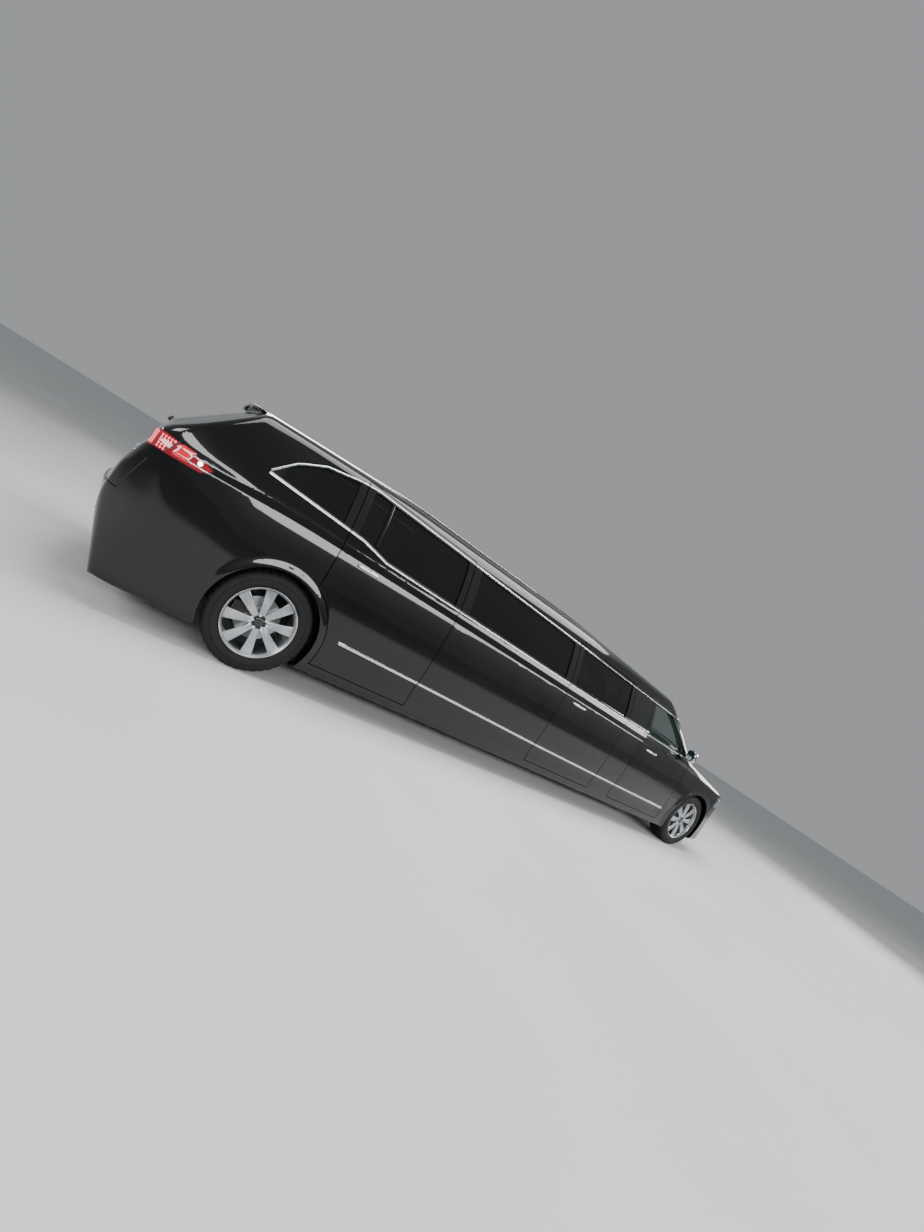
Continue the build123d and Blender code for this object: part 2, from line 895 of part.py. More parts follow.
with BuildPart() as front_door_left:
    add(door_panels["front_door_left"])
with BuildPart() as front_door_right:
    add(door_panels["front_door_right"])
with BuildPart() as rear_door_left:
    add(door_panels["rear_door_left"])
with BuildPart() as rear_door_right:
    add(door_panels["rear_door_right"])
with BuildPart() as middle_door_right:
    add(door_panels["middle_door_right"])
with BuildPart() as front_door_glass_left:
    add(door_panes["front_door_left"])
with BuildPart() as front_door_glass_right:
    add(door_panes["front_door_right"])
with BuildPart() as rear_door_glass_left:
    add(door_panes["rear_door_left"])
with BuildPart() as rear_door_glass_right:
    add(door_panes["rear_door_right"])
with BuildPart() as middle_door_glass_right:
    add(door_panes["middle_door_right"])
front_door_left.part.label = "front_door_left"
front_door_right.part.label = "front_door_right"
rear_door_left.part.label = "rear_door_left"
rear_door_right.part.label = "rear_door_right"
middle_door_right.part.label = "middle_door_right"
front_door_glass_left.part.label = "front_door_glass_left"
front_door_glass_right.part.label = "front_door_glass_right"
rear_door_glass_left.part.label = "rear_door_glass_left"
rear_door_glass_right.part.label = "rear_door_glass_right"
middle_door_glass_right.part.label = "middle_door_glass_right"
for door_leaf in (
    front_door_left, front_door_right, rear_door_left, rear_door_right, middle_door_right,
    front_door_glass_left, front_door_glass_right, rear_door_glass_left, rear_door_glass_right,
    middle_door_glass_right,
):
    export_step(door_leaf.part, f"parts/{door_leaf.part.label}.step")

# Fixed side windows
fixed_outlines = [window_prism(back, front, side, seat_gap) for side, back, front in fixed_windows]
fixed_outlines += [
    side_prism(quarter_outline(seat_gap), *span(side, cabin_low_y, 2 * half_width)) for side in (-1, 1)
]
with BuildPart() as glass_skin:
    add(glass_outer_form)
    add(glass_inner_form, mode=Mode.SUBTRACT)
with BuildPart() as side_glass:
    for outline in fixed_outlines:
        add(outline)
    add(glass_skin.part, mode=Mode.INTERSECT)
side_glass.part.label = "side_glass"
export_step(side_glass.part, "parts/side_glass.step")

# Front fenders
fender_outline = [
    (front_door_front_x + panel_gap, hood_rear_y + panel_gap), (hood_straight_x, hood_rear_y + panel_gap),
    (hood_nose_x, hood_nose_y + panel_gap), (nose_x + 50, hood_nose_y + panel_gap),
    (nose_x + 50, 2 * half_width), (front_door_front_x + panel_gap, 2 * half_width),
]
fender_low_outline = [
    (front_door_front_x + panel_gap, cabin_low_y), (nose_x + 50, cabin_low_y),
    (nose_x + 50, 2 * half_width), (front_door_front_x + panel_gap, 2 * half_width),
]
with BuildPart() as fender_zone:
    for outline, low, high in ((fender_outline, lamp_high_z, height), (fender_low_outline, 0, lamp_high_z)):
        add(plan_prism(outline, low, high))
        add(plan_prism([(x, -y) for x, y in reversed(outline)], low, high))
with BuildPart() as front_fenders:
    add(outer_form)
    add(fender_form, mode=Mode.SUBTRACT)
    add(fender_zone.part, mode=Mode.INTERSECT)
    add(bumper_front_region(-seat_gap), mode=Mode.SUBTRACT)
    add(front_arch, mode=Mode.SUBTRACT)
    add(headlamp_both(-seat_gap), mode=Mode.SUBTRACT)
front_fenders.part.label = "front_fenders"
export_step(front_fenders.part, "parts/front_fenders.step")

# Hood, with the two hinge feet under its rear edge
hood_foot_form = form(hood_wall - 1, hood_wall - 1, hood_wall - 1, -reach)
with BuildPart() as hood_feet:
    for side in (-1, 1):
        add(block(hood_rear_x + seat_gap, hood_rear_x + 40, *span(side, 500, 560), cowl_z, height))
    add(hood_foot_form, mode=Mode.INTERSECT)
    add(cabin_form, mode=Mode.SUBTRACT)
with BuildPart() as hood:
    add(outer_form)
    add(fender_form, mode=Mode.SUBTRACT)
    add(hood_region(seat_gap), mode=Mode.INTERSECT)
    add(block(tail_x, hood_rear_x + panel_gap, -half_width, half_width, 0, 2 * height), mode=Mode.SUBTRACT)
    add(block(tail_x, nose_x + 50, -half_width, half_width, 0, lamp_high_z + panel_gap), mode=Mode.SUBTRACT)
    add(hood_feet.part)
hood.part.label = "hood"
export_step(hood.part, "parts/hood.step")

# Roof
with BuildPart() as roof_panel:
    add(outer_form)
    add(cabin_form, mode=Mode.SUBTRACT)
    add(
        block(liftgate_front_x + panel_gap, windscreen_top_x + 200, -seam_y, seam_y, rail_z, 2 * height),
        mode=Mode.INTERSECT,
    )
    add(windscreen_gap_prism, mode=Mode.SUBTRACT)
roof_panel.part.label = "roof_panel"
export_step(roof_panel.part, "parts/roof_panel.step")

# Cowl under the windscreen, with the two wiper arms
cowl_block = block(
    front_door_front_x + panel_gap + seat_gap, hood_rear_x, -hood_rear_y, hood_rear_y, cowl_z, 2 * height
)
with BuildPart() as cowl:
    add(outer_form)
    add(cabin_form, mode=Mode.SUBTRACT)
    add(cowl_block, mode=Mode.INTERSECT)
    add(windscreen_gap_prism, mode=Mode.SUBTRACT)
cowl.part.label = "cowl"
export_step(cowl.part, "parts/cowl.step")

# Windscreen
with BuildPart() as windscreen:
    add(glass_skin.part)
    add(windscreen_hole(seat_gap), mode=Mode.INTERSECT)
    add(block(tail_x, nose_x, -half_width, half_width, 0, cowl_z), mode=Mode.SUBTRACT)
windscreen.part.label = "windscreen"
export_step(windscreen.part, "parts/windscreen.step")

# Front bumper with the grille's opening and the low intake
with BuildPart() as front_bumper:
    add(outer_form)
    add(bumper_form, mode=Mode.SUBTRACT)
    add(bumper_front_region(0), mode=Mode.INTERSECT)
    add(front_arch, mode=Mode.SUBTRACT)
    add(grille_region(-seat_gap), mode=Mode.SUBTRACT)
    add(
        block(nose_x - 300, nose_x + 50, -intake_half, intake_half, intake_low_z, intake_high_z),
        mode=Mode.SUBTRACT,
    )
front_bumper.part.label = "front_bumper"
export_step(front_bumper.part, "parts/front_bumper.step")

# Grille: two framed wings of upright bars either side of a post
grille_outer_form = form(grille_set, grille_set, grille_set, 0)
grille_inner_form = form(grille_set + grille_deep, grille_set, grille_set + grille_deep, -reach)
wing_half = grille_y - 2 * grille_frame - grille_post / 2
with BuildPart() as grille_cutout:
    for side in (-1, 1):
        add(
            block(
                nose_x - 300, nose_x + 50,
                *span(side, grille_post / 2, grille_y - grille_frame),
                grille_low_z + grille_frame, grille_high_z - grille_frame,
            )
        )
grille_pitch = (grille_y - grille_frame - grille_post / 2) / (grille_bars / 2 + 1)
with BuildPart() as grille:
    add(grille_outer_form)
    add(grille_inner_form, mode=Mode.SUBTRACT)
    add(grille_region(0), mode=Mode.INTERSECT)
    add(grille_cutout.part, mode=Mode.SUBTRACT)
with BuildPart() as grille_bar_set:
    for side in (-1, 1):
        for index in range(grille_bars // 2):
            bar_y = grille_post / 2 + grille_pitch * (index + 1)
            add(
                block(
                    nose_x - 300, nose_x + 50, *span(side, bar_y - grille_bar / 2, bar_y + grille_bar / 2),
                    grille_low_z + grille_frame - 1, grille_high_z - grille_frame + 1,
                )
            )
    add(grille_outer_form, mode=Mode.INTERSECT)
    add(grille_inner_form, mode=Mode.SUBTRACT)
with BuildPart() as grille_whole:
    add(grille.part)
    add(grille_bar_set.part)
grille_whole.part.label = "grille"
export_step(grille_whole.part, "parts/grille.step")

# Headlamps
lamp_form = form(lamp_depth, lamp_depth, lamp_depth, -reach)
with BuildPart() as headlamps:
    add(outer_form)
    add(lamp_form, mode=Mode.SUBTRACT)
    add(headlamp_both(0), mode=Mode.INTERSECT)
headlamps.part.label = "headlamps"
export_step(headlamps.part, "parts/headlamps.step")

# Rear bumper
with BuildPart() as rear_bumper:
    add(outer_form)
    add(bumper_form, mode=Mode.SUBTRACT)
    add(
        block(tail_x - 50, rear_axle_x - bumper_wrap, -2 * half_width, 2 * half_width, 0, bumper_top_z),
        mode=Mode.INTERSECT,
    )
    add(rear_arch, mode=Mode.SUBTRACT)
rear_bumper.part.label = "rear_bumper"
export_step(rear_bumper.part, "parts/rear_bumper.step")

# Tail lamps on the body's corners
with BuildPart() as tail_lamps:
    add(outer_form)
    add(lamp_form, mode=Mode.SUBTRACT)
    add(tail_lamp_region(0), mode=Mode.INTERSECT)
    add(liftgate_region(-panel_gap - seat_gap), mode=Mode.SUBTRACT)
tail_lamps.part.label = "tail_lamps"
export_step(tail_lamps.part, "parts/tail_lamps.step")

# Liftgate with its spoiler, its screen and the lamps that it carries
liftgate_form = form(liftgate_wall, roof_wall, liftgate_wall, -reach)
light_bar_form = form(light_bar_deep + seat_gap, light_bar_top + seat_gap, light_bar_deep + seat_gap, -reach)
light_bar_seat_form = form(light_bar_deep, light_bar_top, light_bar_deep, -reach)
with BuildPart() as spoiler:
    add(
        side_prism(
            [
                (back_top_x - 4, height), (back_top_x - spoiler_out, height),
                (back_top_x - spoiler_out, back_top_z - 26), (back_top_x - 4, back_top_z - 14),
            ],
            -spoiler_half, spoiler_half,
        )
    )
    add(
        outside_crowned((roof_rear_x, height), (back_top_x, height - roof_drop), roof_crown, 0, -1),
        mode=Mode.SUBTRACT,
    )
liftgate_foot_form = form(18, 18, 18, -reach)
# The inner box is set in from the edges beside the screen, so that it clears the pillars as it swings
with BuildPart() as liftgate_relief:
    add(form(liftgate_skin, liftgate_skin, liftgate_skin, -reach))
    add(liftgate_region(liftgate_inset), mode=Mode.SUBTRACT)
    add(
        block(tail_x, liftgate_front_x + 50, -half_width, half_width, tail_lamp_low_z, height),
        mode=Mode.INTERSECT,
    )
with BuildPart() as liftgate_feet:
    for side in (-1, 1):
        add(
            block(
                liftgate_front_x - liftgate_inset - 30, liftgate_front_x + panel_gap - seat_gap,
                *span(side, 300, 360),
                rail_z, height,
            )
        )
    add(liftgate_foot_form, mode=Mode.INTERSECT)
    add(cabin_form, mode=Mode.SUBTRACT)
with BuildPart() as light_bar_pocket:
    add(tail_lamp_region(-seat_gap))
    add(light_bar_form, mode=Mode.SUBTRACT)
with BuildPart() as liftgate:
    add(outer_form)
    add(liftgate_form, mode=Mode.SUBTRACT)
    add(liftgate_region(0), mode=Mode.INTERSECT)
    add(back_gap_prism, mode=Mode.SUBTRACT)
    add(liftgate_relief.part, mode=Mode.SUBTRACT)
    add(spoiler.part)
    add(liftgate_feet.part)
    add(
        block(
            tail_x - 20, tail_x + plate_out + plate_recess,
            -plate_half - plate_margin, plate_half + plate_margin,
            plate_low_z - plate_margin / 2, plate_low_z + plate_tall + plate_margin,
        ),
        mode=Mode.SUBTRACT,
    )
    add(
        block(
            tail_x + plate_out, tail_x + plate_out + 20, -plate_half, plate_half,
            plate_low_z, plate_low_z + plate_tall,
        )
    )
    add(light_bar_pocket.part, mode=Mode.SUBTRACT)
liftgate.part.label = "liftgate"
export_step(liftgate.part, "parts/liftgate.step")

with BuildPart() as liftgate_glass:
    add(glass_skin.part)
    add(back_hole(seat_gap), mode=Mode.INTERSECT)
    add(
        block(tail_x, liftgate_front_x + 200, -half_width, half_width, back_base_z - 60, height),
        mode=Mode.INTERSECT,
    )
liftgate_glass.part.label = "liftgate_glass"
export_step(liftgate_glass.part, "parts/liftgate_glass.step")

with BuildPart() as liftgate_lamps:
    add(outer_form)
    add(light_bar_seat_form, mode=Mode.SUBTRACT)
    add(tail_lamp_region(0), mode=Mode.INTERSECT)
    add(liftgate_region(0), mode=Mode.INTERSECT)
liftgate_lamps.part.label = "liftgate_lamps"
export_step(liftgate_lamps.part, "parts/liftgate_lamps.step")

# Engine and gearbox as one plain mass between the rails, and the radiator
with BuildPart() as engine:
    add(
        block(
            front_axle_x - engine_back, front_axle_x + engine_front,
            -rail_in_y + seat_gap, rail_in_y - seat_gap, engine_low_z, engine_high_z,
        )
    )
engine.part.label = "engine"
export_step(engine.part, "parts/engine.step")

with BuildPart() as radiator:
    add(
        block(
            nose_x - beam_back - 75, nose_x - beam_back - 25,
            -rail_in_y + seat_gap, rail_in_y - seat_gap, radiator_low_z, radiator_high_z,
        )
    )
radiator.part.label = "radiator"
export_step(radiator.part, "parts/radiator.step")


def caliper(axle_x, side):
    # A brake caliper with a slot for the disc
    with BuildPart() as body:
        add(
            block(
                axle_x - 195, axle_x - 100, *span(side, disc_y - 24, disc_y + disc_thickness + 24),
                tyre_radius - 60, tyre_radius + 60,
            )
        )
        add(
            cross_cylinder(
                axle_x, tyre_radius, disc_radius + 6,
                *span(side, disc_y - 6, disc_y + disc_thickness + 6),
            ),
            mode=Mode.SUBTRACT,
        )
        add(
            block(
                axle_x - 110, axle_x - 30, *span(side, kingpin_y - 20, disc_y - 8),
                tyre_radius - 30, tyre_radius + 30,
            )
        )
    return body.part


# Suspension: arms inside the wheels, coil struts inboard of the tyres
def coil_strut(x, y, low, high):
    with BuildPart() as strut:
        with BuildSketch(Plane.XY.offset(low)):
            with Locations((x, y)):
                Circle(strut_radius)
        extrude(amount=high - low)
        with BuildSketch(Plane.XY.offset(low + 110)):
            with Locations((x, y)):
                Circle(coil_radius)
        extrude(amount=high - low - 150)
    return strut.part


def arm(x, y_in, y_out, z, spread, thick):
    # A flat wishbone, wide at the body and narrow at the ball joint
    with BuildPart() as wishbone:
        with BuildSketch(Plane.XY.offset(z)):
            with BuildLine():
                Polyline((x - spread, y_in), (x + spread, y_in), (x + 24, y_out), (x - 24, y_out), close=True)
            make_face()
            with Locations((x, y_out)):
                Circle(26)
        extrude(amount=thick)
    return wishbone.part


strut_top_z = tyre_radius + sqrt(front_liner_radius**2 - strut_radius**2) - seat_gap
low_arm_z = tyre_radius - knuckle_low - arm_thick
high_arm_z = tyre_radius + knuckle_high
with BuildPart() as front_suspension:
    for side in (-1, 1):
        add(arm(front_axle_x, side * cradle_half, side * kingpin_y, low_arm_z, 150, arm_thick))
        high_arm_in = side * (rail_in_y + rail_wide + seat_gap)
        add(arm(front_axle_x, high_arm_in, side * kingpin_y, high_arm_z, 90, arm_thick))
        add(coil_strut(front_axle_x, side * strut_y, low_arm_z + 10, strut_top_z))
    add(block(front_axle_x - 230, front_axle_x + 190, -cradle_half, cradle_half, low_arm_z, low_arm_z + 50))
front_suspension.part.label = "front_suspension"
export_step(front_suspension.part, "parts/front_suspension.step")

with BuildPart() as rear_suspension:
    for side in (-1, 1):
        add(arm(rear_axle_x, side * cradle_half, side * kingpin_y, low_arm_z, 130, arm_thick))
        add(coil_strut(rear_axle_x, side * rear_strut_y, low_arm_z + 10, rear_floor_z - seat_gap))
        add(
            block(
                rear_axle_x - 34, rear_axle_x + 34, *span(side, kingpin_y - 26, kingpin_y + 12),
                low_arm_z + 5, tyre_radius + 90,
            )
        )
        add(cross_cylinder(rear_axle_x, tyre_radius, spindle_radius, *span(side, kingpin_y, spindle_end_y)))
        add(caliper(rear_axle_x, side))
    add(block(rear_axle_x - 170, rear_axle_x + 170, -cradle_half, cradle_half, low_arm_z, low_arm_z + 50))
rear_suspension.part.label = "rear_suspension"
export_step(rear_suspension.part, "parts/rear_suspension.step")


# Steering knuckles with their spindles and brake calipers
def knuckle(side):
    with BuildPart() as upright:
        add(
            block(
                front_axle_x - 34, front_axle_x + 34, *span(side, kingpin_y - 26, kingpin_y + 12),
                low_arm_z + arm_thick + seat_gap, high_arm_z - seat_gap,
            )
        )
        add(cross_cylinder(front_axle_x, tyre_radius, spindle_radius, *span(side, kingpin_y, spindle_end_y)))
        add(caliper(front_axle_x, side))
    return upright.part


with BuildPart() as knuckle_left:
    add(knuckle(1))
knuckle_left.part.label = "knuckle_left"
export_step(knuckle_left.part, "parts/knuckle_left.step")

with BuildPart() as knuckle_right:
    add(knuckle(-1))
knuckle_right.part.label = "knuckle_right"
export_step(knuckle_right.part, "parts/knuckle_right.step")


# Wheels
def ring(axle_x, side, profile):
    # A turned piece: the profile is (distance from the wheel's middle plane outwards, radius)
    with BuildPart() as turned:
        with BuildSketch(Plane.XY.offset(tyre_radius)):
            with BuildLine():
                Polyline(*[(axle_x + radius, side * (wheel_y + out)) for out, radius in profile], close=True)
            make_face()
        revolve(axis=Axis((axle_x, 0, tyre_radius), (0, 1, 0)))
    return turned.part


half_tyre = tyre_width / 2
half_rim = half_tyre - 16
tyre_profile = [
    (-half_rim + seat_gap, tyre_bore_radius), (half_rim - seat_gap, tyre_bore_radius),
    (half_rim - seat_gap, rim_flange_radius + 1), (half_tyre - 5, rim_flange_radius + 12),
    (half_tyre, 300), (half_tyre - 5, 340), (half_tyre - 24, tyre_radius - 6),
    (half_tyre - 44, tyre_radius), (-half_tyre + 44, tyre_radius),
    (-half_tyre + 24, tyre_radius - 6), (-half_tyre + 5, 340), (-half_tyre, 300),
    (-half_tyre + 5, rim_flange_radius + 12), (-half_rim + seat_gap, rim_flange_radius + 1),
]
rim_seat_radius = tyre_bore_radius - seat_gap
barrel_profile = [
    (-half_rim - 8, rim_flange_radius), (-half_rim, rim_flange_radius), (-half_rim, rim_seat_radius),
    (half_rim, rim_seat_radius), (half_rim, rim_flange_radius), (half_rim + 8, rim_flange_radius),
    (half_rim + 8, rim_seat_radius - rim_barrel_wall - 6), (half_rim - 20, rim_seat_radius - rim_barrel_wall),
    (-half_rim - 8, rim_seat_radius - rim_barrel_wall),
]
barrel_inner_radius = rim_seat_radius - rim_barrel_wall
disc_in = disc_y - wheel_y
hub_profile = [
    (disc_in, spindle_radius + seat_gap), (disc_in, disc_radius), (disc_in + disc_thickness, disc_radius),
    (disc_in + disc_thickness, hub_radius), (spoke_out - 12, hub_radius), (spoke_out - 12, 0),
    (spindle_end_y - wheel_y + seat_gap, 0), (spindle_end_y - wheel_y + seat_gap, spindle_radius + seat_gap),
]
spoke_face_y = wheel_y + spoke_out


def rim(axle_x, side):
    with BuildPart() as wheel:
        add(ring(axle_x, side, barrel_profile))
        add(ring(axle_x, side, hub_profile))
        with BuildSketch(Plane.XZ.offset(-span(side, spoke_face_y - spoke_thick, spoke_face_y)[1])):
            with Locations((axle_x, tyre_radius)):
                with PolarLocations(0, spoke_count, start_angle=spoke_turn):
                    Polygon(
                        (hub_radius - 20, -spoke_in_half), (barrel_inner_radius + 3, -spoke_out_half),
                        (barrel_inner_radius + 3, spoke_out_half), (hub_radius - 20, spoke_in_half),
                        align=None,
                    )
        extrude(amount=spoke_thick)
    return wheel.part


# Columns: corner, axle, side
corners = [
    ("front_left", front_axle_x, 1), ("front_right", front_axle_x, -1),
    ("rear_left", rear_axle_x, 1), ("rear_right", rear_axle_x, -1),
]
for corner, axle_x, side in corners:
    with BuildPart() as tyre:
        add(ring(axle_x, side, tyre_profile))
    tyre.part.label = f"tyre_{corner}"
    export_step(tyre.part, f"parts/tyre_{corner}.step")
    with BuildPart() as wheel_rim:
        add(rim(axle_x, side))
    wheel_rim.part.label = f"rim_{corner}"
    export_step(wheel_rim.part, f"parts/rim_{corner}.step")

# Exhaust: a pipe under the floor, a silencer behind the rear axle and two tips
with BuildPart() as exhaust:
    with BuildLine() as pipe_route:
        FilletPolyline(
            (front_axle_x - 700, exhaust_y, exhaust_z), (rear_axle_x + 400, exhaust_y, exhaust_z),
            (rear_axle_x + 220, exhaust_y, silencer_z), (rear_axle_x - 420, exhaust_y, silencer_z),
            radius=90,
        )
    with BuildSketch(Plane(origin=(front_axle_x - 700, exhaust_y, exhaust_z), z_dir=(-1, 0, 0))):
        Circle(exhaust_radius)
    sweep(path=pipe_route.wires()[0])
    add(block(tail_x + 330, rear_axle_x - 400, -330, 330, silencer_z - 62, silencer_z + 62))
    add(block(tail_x + 500, tail_x + 516, -60, 60, silencer_z + 50, rear_floor_z - seat_gap))
    for hanger_x in hangers_x:
        add(
            block(
                hanger_x - 8, hanger_x + 8, exhaust_y - 10, exhaust_y + 10,
                exhaust_z + 10, floor_z - seat_gap,
            )
        )
exhaust.part.label = "exhaust"
export_step(exhaust.part, "parts/exhaust.step")

# Inside: instrument panel with the steering wheel, seats, partition and drinks cabinet
with BuildPart() as dashboard:
    add(
        block(
            firewall_x - 420, firewall_x - floor_thickness - seat_gap, -dash_half, dash_half,
            dash_low_z, dash_high_z,
        )
    )
    with BuildSketch(Plane(origin=(firewall_x - 430, driver_y, dash_high_z - 40), z_dir=(-1, 0, 0.35))):
        Circle(24)
    extrude(amount=90, both=True)
    with BuildSketch(Plane(origin=(firewall_x - 515, driver_y, dash_high_z - 12), z_dir=(-1, 0, 0.35))):
        Circle(188)
        Circle(160, mode=Mode.SUBTRACT)
        Rectangle(24, 340)
        Rectangle(340, 24)
    extrude(amount=14, both=True)
dashboard.part.label = "dashboard"
export_step(dashboard.part, "parts/dashboard.step")


def seat(x, y, width, length, high, back_high, way, rests):
    # A cushion on its base with a leaning back and head rests; way is 1 where the sitter faces forwards
    top = floor_top + back_high
    with BuildPart() as chair:
        add(side_prism(
            [
                (x, floor_top + seat_gap), (x + way * length, floor_top + seat_gap),
                (x + way * length, floor_top + high),
                (x + way * 0.28 * length, floor_top + high - 30), (x - way * 90, top),
                (x - way * 230, top), (x, floor_top + high - 120),
            ],
            y - width / 2, y + width / 2,
        ))
        for rest_y in rests:
            add(side_prism(
                [
                    (x - way * 95, top - 5), (x - way * 205, top - 5),
                    (x - way * 215, top + head_rest_tall), (x - way * 120, top + head_rest_tall),
                ],
                y + rest_y - head_rest_half, y + rest_y + head_rest_half,
            ))
    return chair.part


with BuildPart() as front_seats:
    for side in (-1, 1):
        add(seat(front_seat_x, side * driver_y, 500, 540, 330, 800, 1, (0,)))
front_seats.part.label = "front_seats"
export_step(front_seats.part, "parts/front_seats.step")

with BuildPart() as side_bench:
    add(
        tail_prism(
            [
                (240, floor_top + seat_gap), (780, floor_top + seat_gap), (780, floor_top + 700),
                (660, floor_top + 700), (620, floor_top + 340), (240, floor_top + 340),
            ],
            side_bench_back_x, side_bench_front_x,
        )
    )

with BuildPart() as saloon_seats:
    add(seat(rear_seat_x, 0, 1300, 540, 340, 800, 1, (-430, 0, 430)))
    add(side_bench.part)
saloon_seats.part.label = "saloon_seats"
export_step(saloon_seats.part, "parts/saloon_seats.step")

with BuildPart() as partition:
    add(block(partition_x, partition_x + 60, -640, 640, floor_top + seat_gap, 1560))
    add(block(partition_x - 5, partition_x + 65, -430, 430, 1090, 1440), mode=Mode.SUBTRACT)
partition.part.label = "partition"
export_step(partition.part, "parts/partition.step")

with BuildPart() as bar_cabinet:
    add(block(cabinet_back_x, cabinet_front_x, -800, -430, floor_top + seat_gap, floor_top + 620))
    add(
        block(cabinet_back_x + 60, cabinet_front_x - 60, -700, -400, floor_top + 250, floor_top + 520),
        mode=Mode.SUBTRACT,
    )
bar_cabinet.part.label = "bar_cabinet"
export_step(bar_cabinet.part, "parts/bar_cabinet.step")
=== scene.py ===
import math

import bmesh
import bpy
import numpy as np
from mathutils import Matrix, Vector
from mathutils.bvhtree import BVHTree


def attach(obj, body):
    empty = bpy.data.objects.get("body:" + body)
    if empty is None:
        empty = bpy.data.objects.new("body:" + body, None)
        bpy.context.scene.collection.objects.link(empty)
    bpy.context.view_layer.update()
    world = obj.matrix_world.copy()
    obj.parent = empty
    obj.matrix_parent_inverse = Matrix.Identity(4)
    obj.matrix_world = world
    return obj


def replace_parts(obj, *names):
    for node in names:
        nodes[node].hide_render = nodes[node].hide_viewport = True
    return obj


# Stretch limousine: paint, glass, brightwork, lamps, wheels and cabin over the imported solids.
# Metres, +X to the nose, +Y to the car's left, +Z up, the floor at zero.

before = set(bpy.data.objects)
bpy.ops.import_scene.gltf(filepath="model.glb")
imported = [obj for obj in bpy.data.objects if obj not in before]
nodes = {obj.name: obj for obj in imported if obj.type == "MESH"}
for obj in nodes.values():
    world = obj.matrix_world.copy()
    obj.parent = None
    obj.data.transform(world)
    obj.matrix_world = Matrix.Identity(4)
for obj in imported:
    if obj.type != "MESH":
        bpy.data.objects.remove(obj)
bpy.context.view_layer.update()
print("frame loaded:", len(nodes), "nodes")

car = {
    "nose": 4.123, "tail": -4.123, "frontAxle": 3.145, "rearAxle": -2.898, "axleHigh": 0.370, "wheelOut": 0.830,
}
nose, tail = car["nose"], car["tail"]
frontAxle, rearAxle = car["frontAxle"], car["rearAxle"]
sides = ((1, "Left"), (-1, "Right"))

# shut lines seen from the side, and the gap beside each
gap = 0.007
rearDoor = {"back": rearAxle + 0.215, "front": rearAxle + 1.345}
middleDoor = {"back": rearAxle + 2.900, "front": rearAxle + 3.960}
frontDoor = {"back": frontAxle - 1.690, "front": frontAxle - 0.610}
# panels seen from the side: name, body, side, back edge, front edge
panels = [
    ("quarterLeft", "body", 1, rearAxle - 0.50, rearDoor["back"] - gap),
    ("quarterRight", "body", -1, rearAxle - 0.50, rearDoor["back"] - gap),
    ("rearDoorLeft", "rear_door_left", 1, rearDoor["back"], rearDoor["front"]),
    ("rearDoorRight", "rear_door_right", -1, rearDoor["back"], rearDoor["front"]),
    ("stretchLeft", "body", 1, rearDoor["front"] + gap, frontDoor["back"] - gap),
    ("stretchRight", "body", -1, rearDoor["front"] + gap, middleDoor["back"] - gap),
    ("middleDoorRight", "middle_door_right", -1, middleDoor["back"], middleDoor["front"]),
    ("pillarRight", "body", -1, middleDoor["front"] + gap, frontDoor["back"] - gap),
    ("frontDoorLeft", "front_door_left", 1, frontDoor["back"], frontDoor["front"]),
    ("frontDoorRight", "front_door_right", -1, frontDoor["back"], frontDoor["front"]),
]


# Small helpers
def linear(hexColour, alpha=1.0):
    # sRGB hex to the linear values that a shader takes
    out = []
    for i in (0, 2, 4):
        v = int(hexColour[i:i + 2], 16) / 255
        out.append(v / 12.92 if v <= 0.04045 else ((v + 0.055) / 1.055) ** 2.4)
    return (*out, alpha)


def addNode(tree, kind, settings=None, links=None):
    # one node with its settings, its socket values and its links
    node = tree.nodes.new(kind)
    for key, value in (settings or {}).items():
        if isinstance(key, int) or key in node.inputs:
            node.inputs[key].default_value = value
        else:
            setattr(node, key, value)
    for key, source in (links or {}).items():
        tree.links.new(source, node.inputs[key])
    return node


def makeFinish(name, look):
    # a finish from its look: two shades, grain in mm, roughness range, bump, and plain shader values
    mat = bpy.data.materials.new(name)
    mat.use_nodes = True
    tree = mat.node_tree
    tree.nodes.clear()
    place = addNode(tree, "ShaderNodeTexCoord").outputs["Object"]
    if look.get("stretch"):
        place = addNode(tree, "ShaderNodeMapping", {"Scale": look["stretch"]}, {"Vector": place}).outputs[0]
    cloud = addNode(tree, "ShaderNodeTexNoise", {"Scale": 1000 / look.get("cloudMm", 400), "Detail": 5.0},
                    {"Vector": place}).outputs["Fac"]
    shade = addNode(tree, "ShaderNodeValToRGB", links={"Fac": cloud})
    shade.color_ramp.elements[0].position, shade.color_ramp.elements[1].position = 0.3, 0.7
    shade.color_ramp.elements[0].color = linear(look["dark"])
    shade.color_ramp.elements[1].color = linear(look["light"])
    rough = addNode(tree, "ShaderNodeMapRange",
                    {"From Min": 0.3, "From Max": 0.7, "To Min": look["rough"][0], "To Max": look["rough"][1]},
                    {"Value": cloud})
    kinds = {"noise": ("ShaderNodeTexNoise", "Fac"), "cells": ("ShaderNodeTexVoronoi", "Distance")}
    kind, out = kinds[look.get("pattern", "noise")]
    grain = addNode(tree, kind, {"Scale": 1000 / look["grainMm"]}, {"Vector": place}).outputs[out]
    bump = addNode(tree, "ShaderNodeBump", {"Strength": look["bump"], "Distance": look.get("deepMm", 0.2) / 1000},
                   {"Height": grain})
    if look.get("edgeMm"):
        edge = addNode(tree, "ShaderNodeBevel", {"samples": 4, "Radius": look["edgeMm"] / 1000})
        tree.links.new(edge.outputs[0], bump.inputs["Normal"])
    shader = addNode(tree, "ShaderNodeBsdfPrincipled", look.get("shader", {}),
                     {"Base Color": shade.outputs["Color"], "Roughness": rough.outputs["Result"],
                      "Normal": bump.outputs["Normal"]})
    addNode(tree, "ShaderNodeOutputMaterial", links={"Surface": shader.outputs[0]})
    return mat


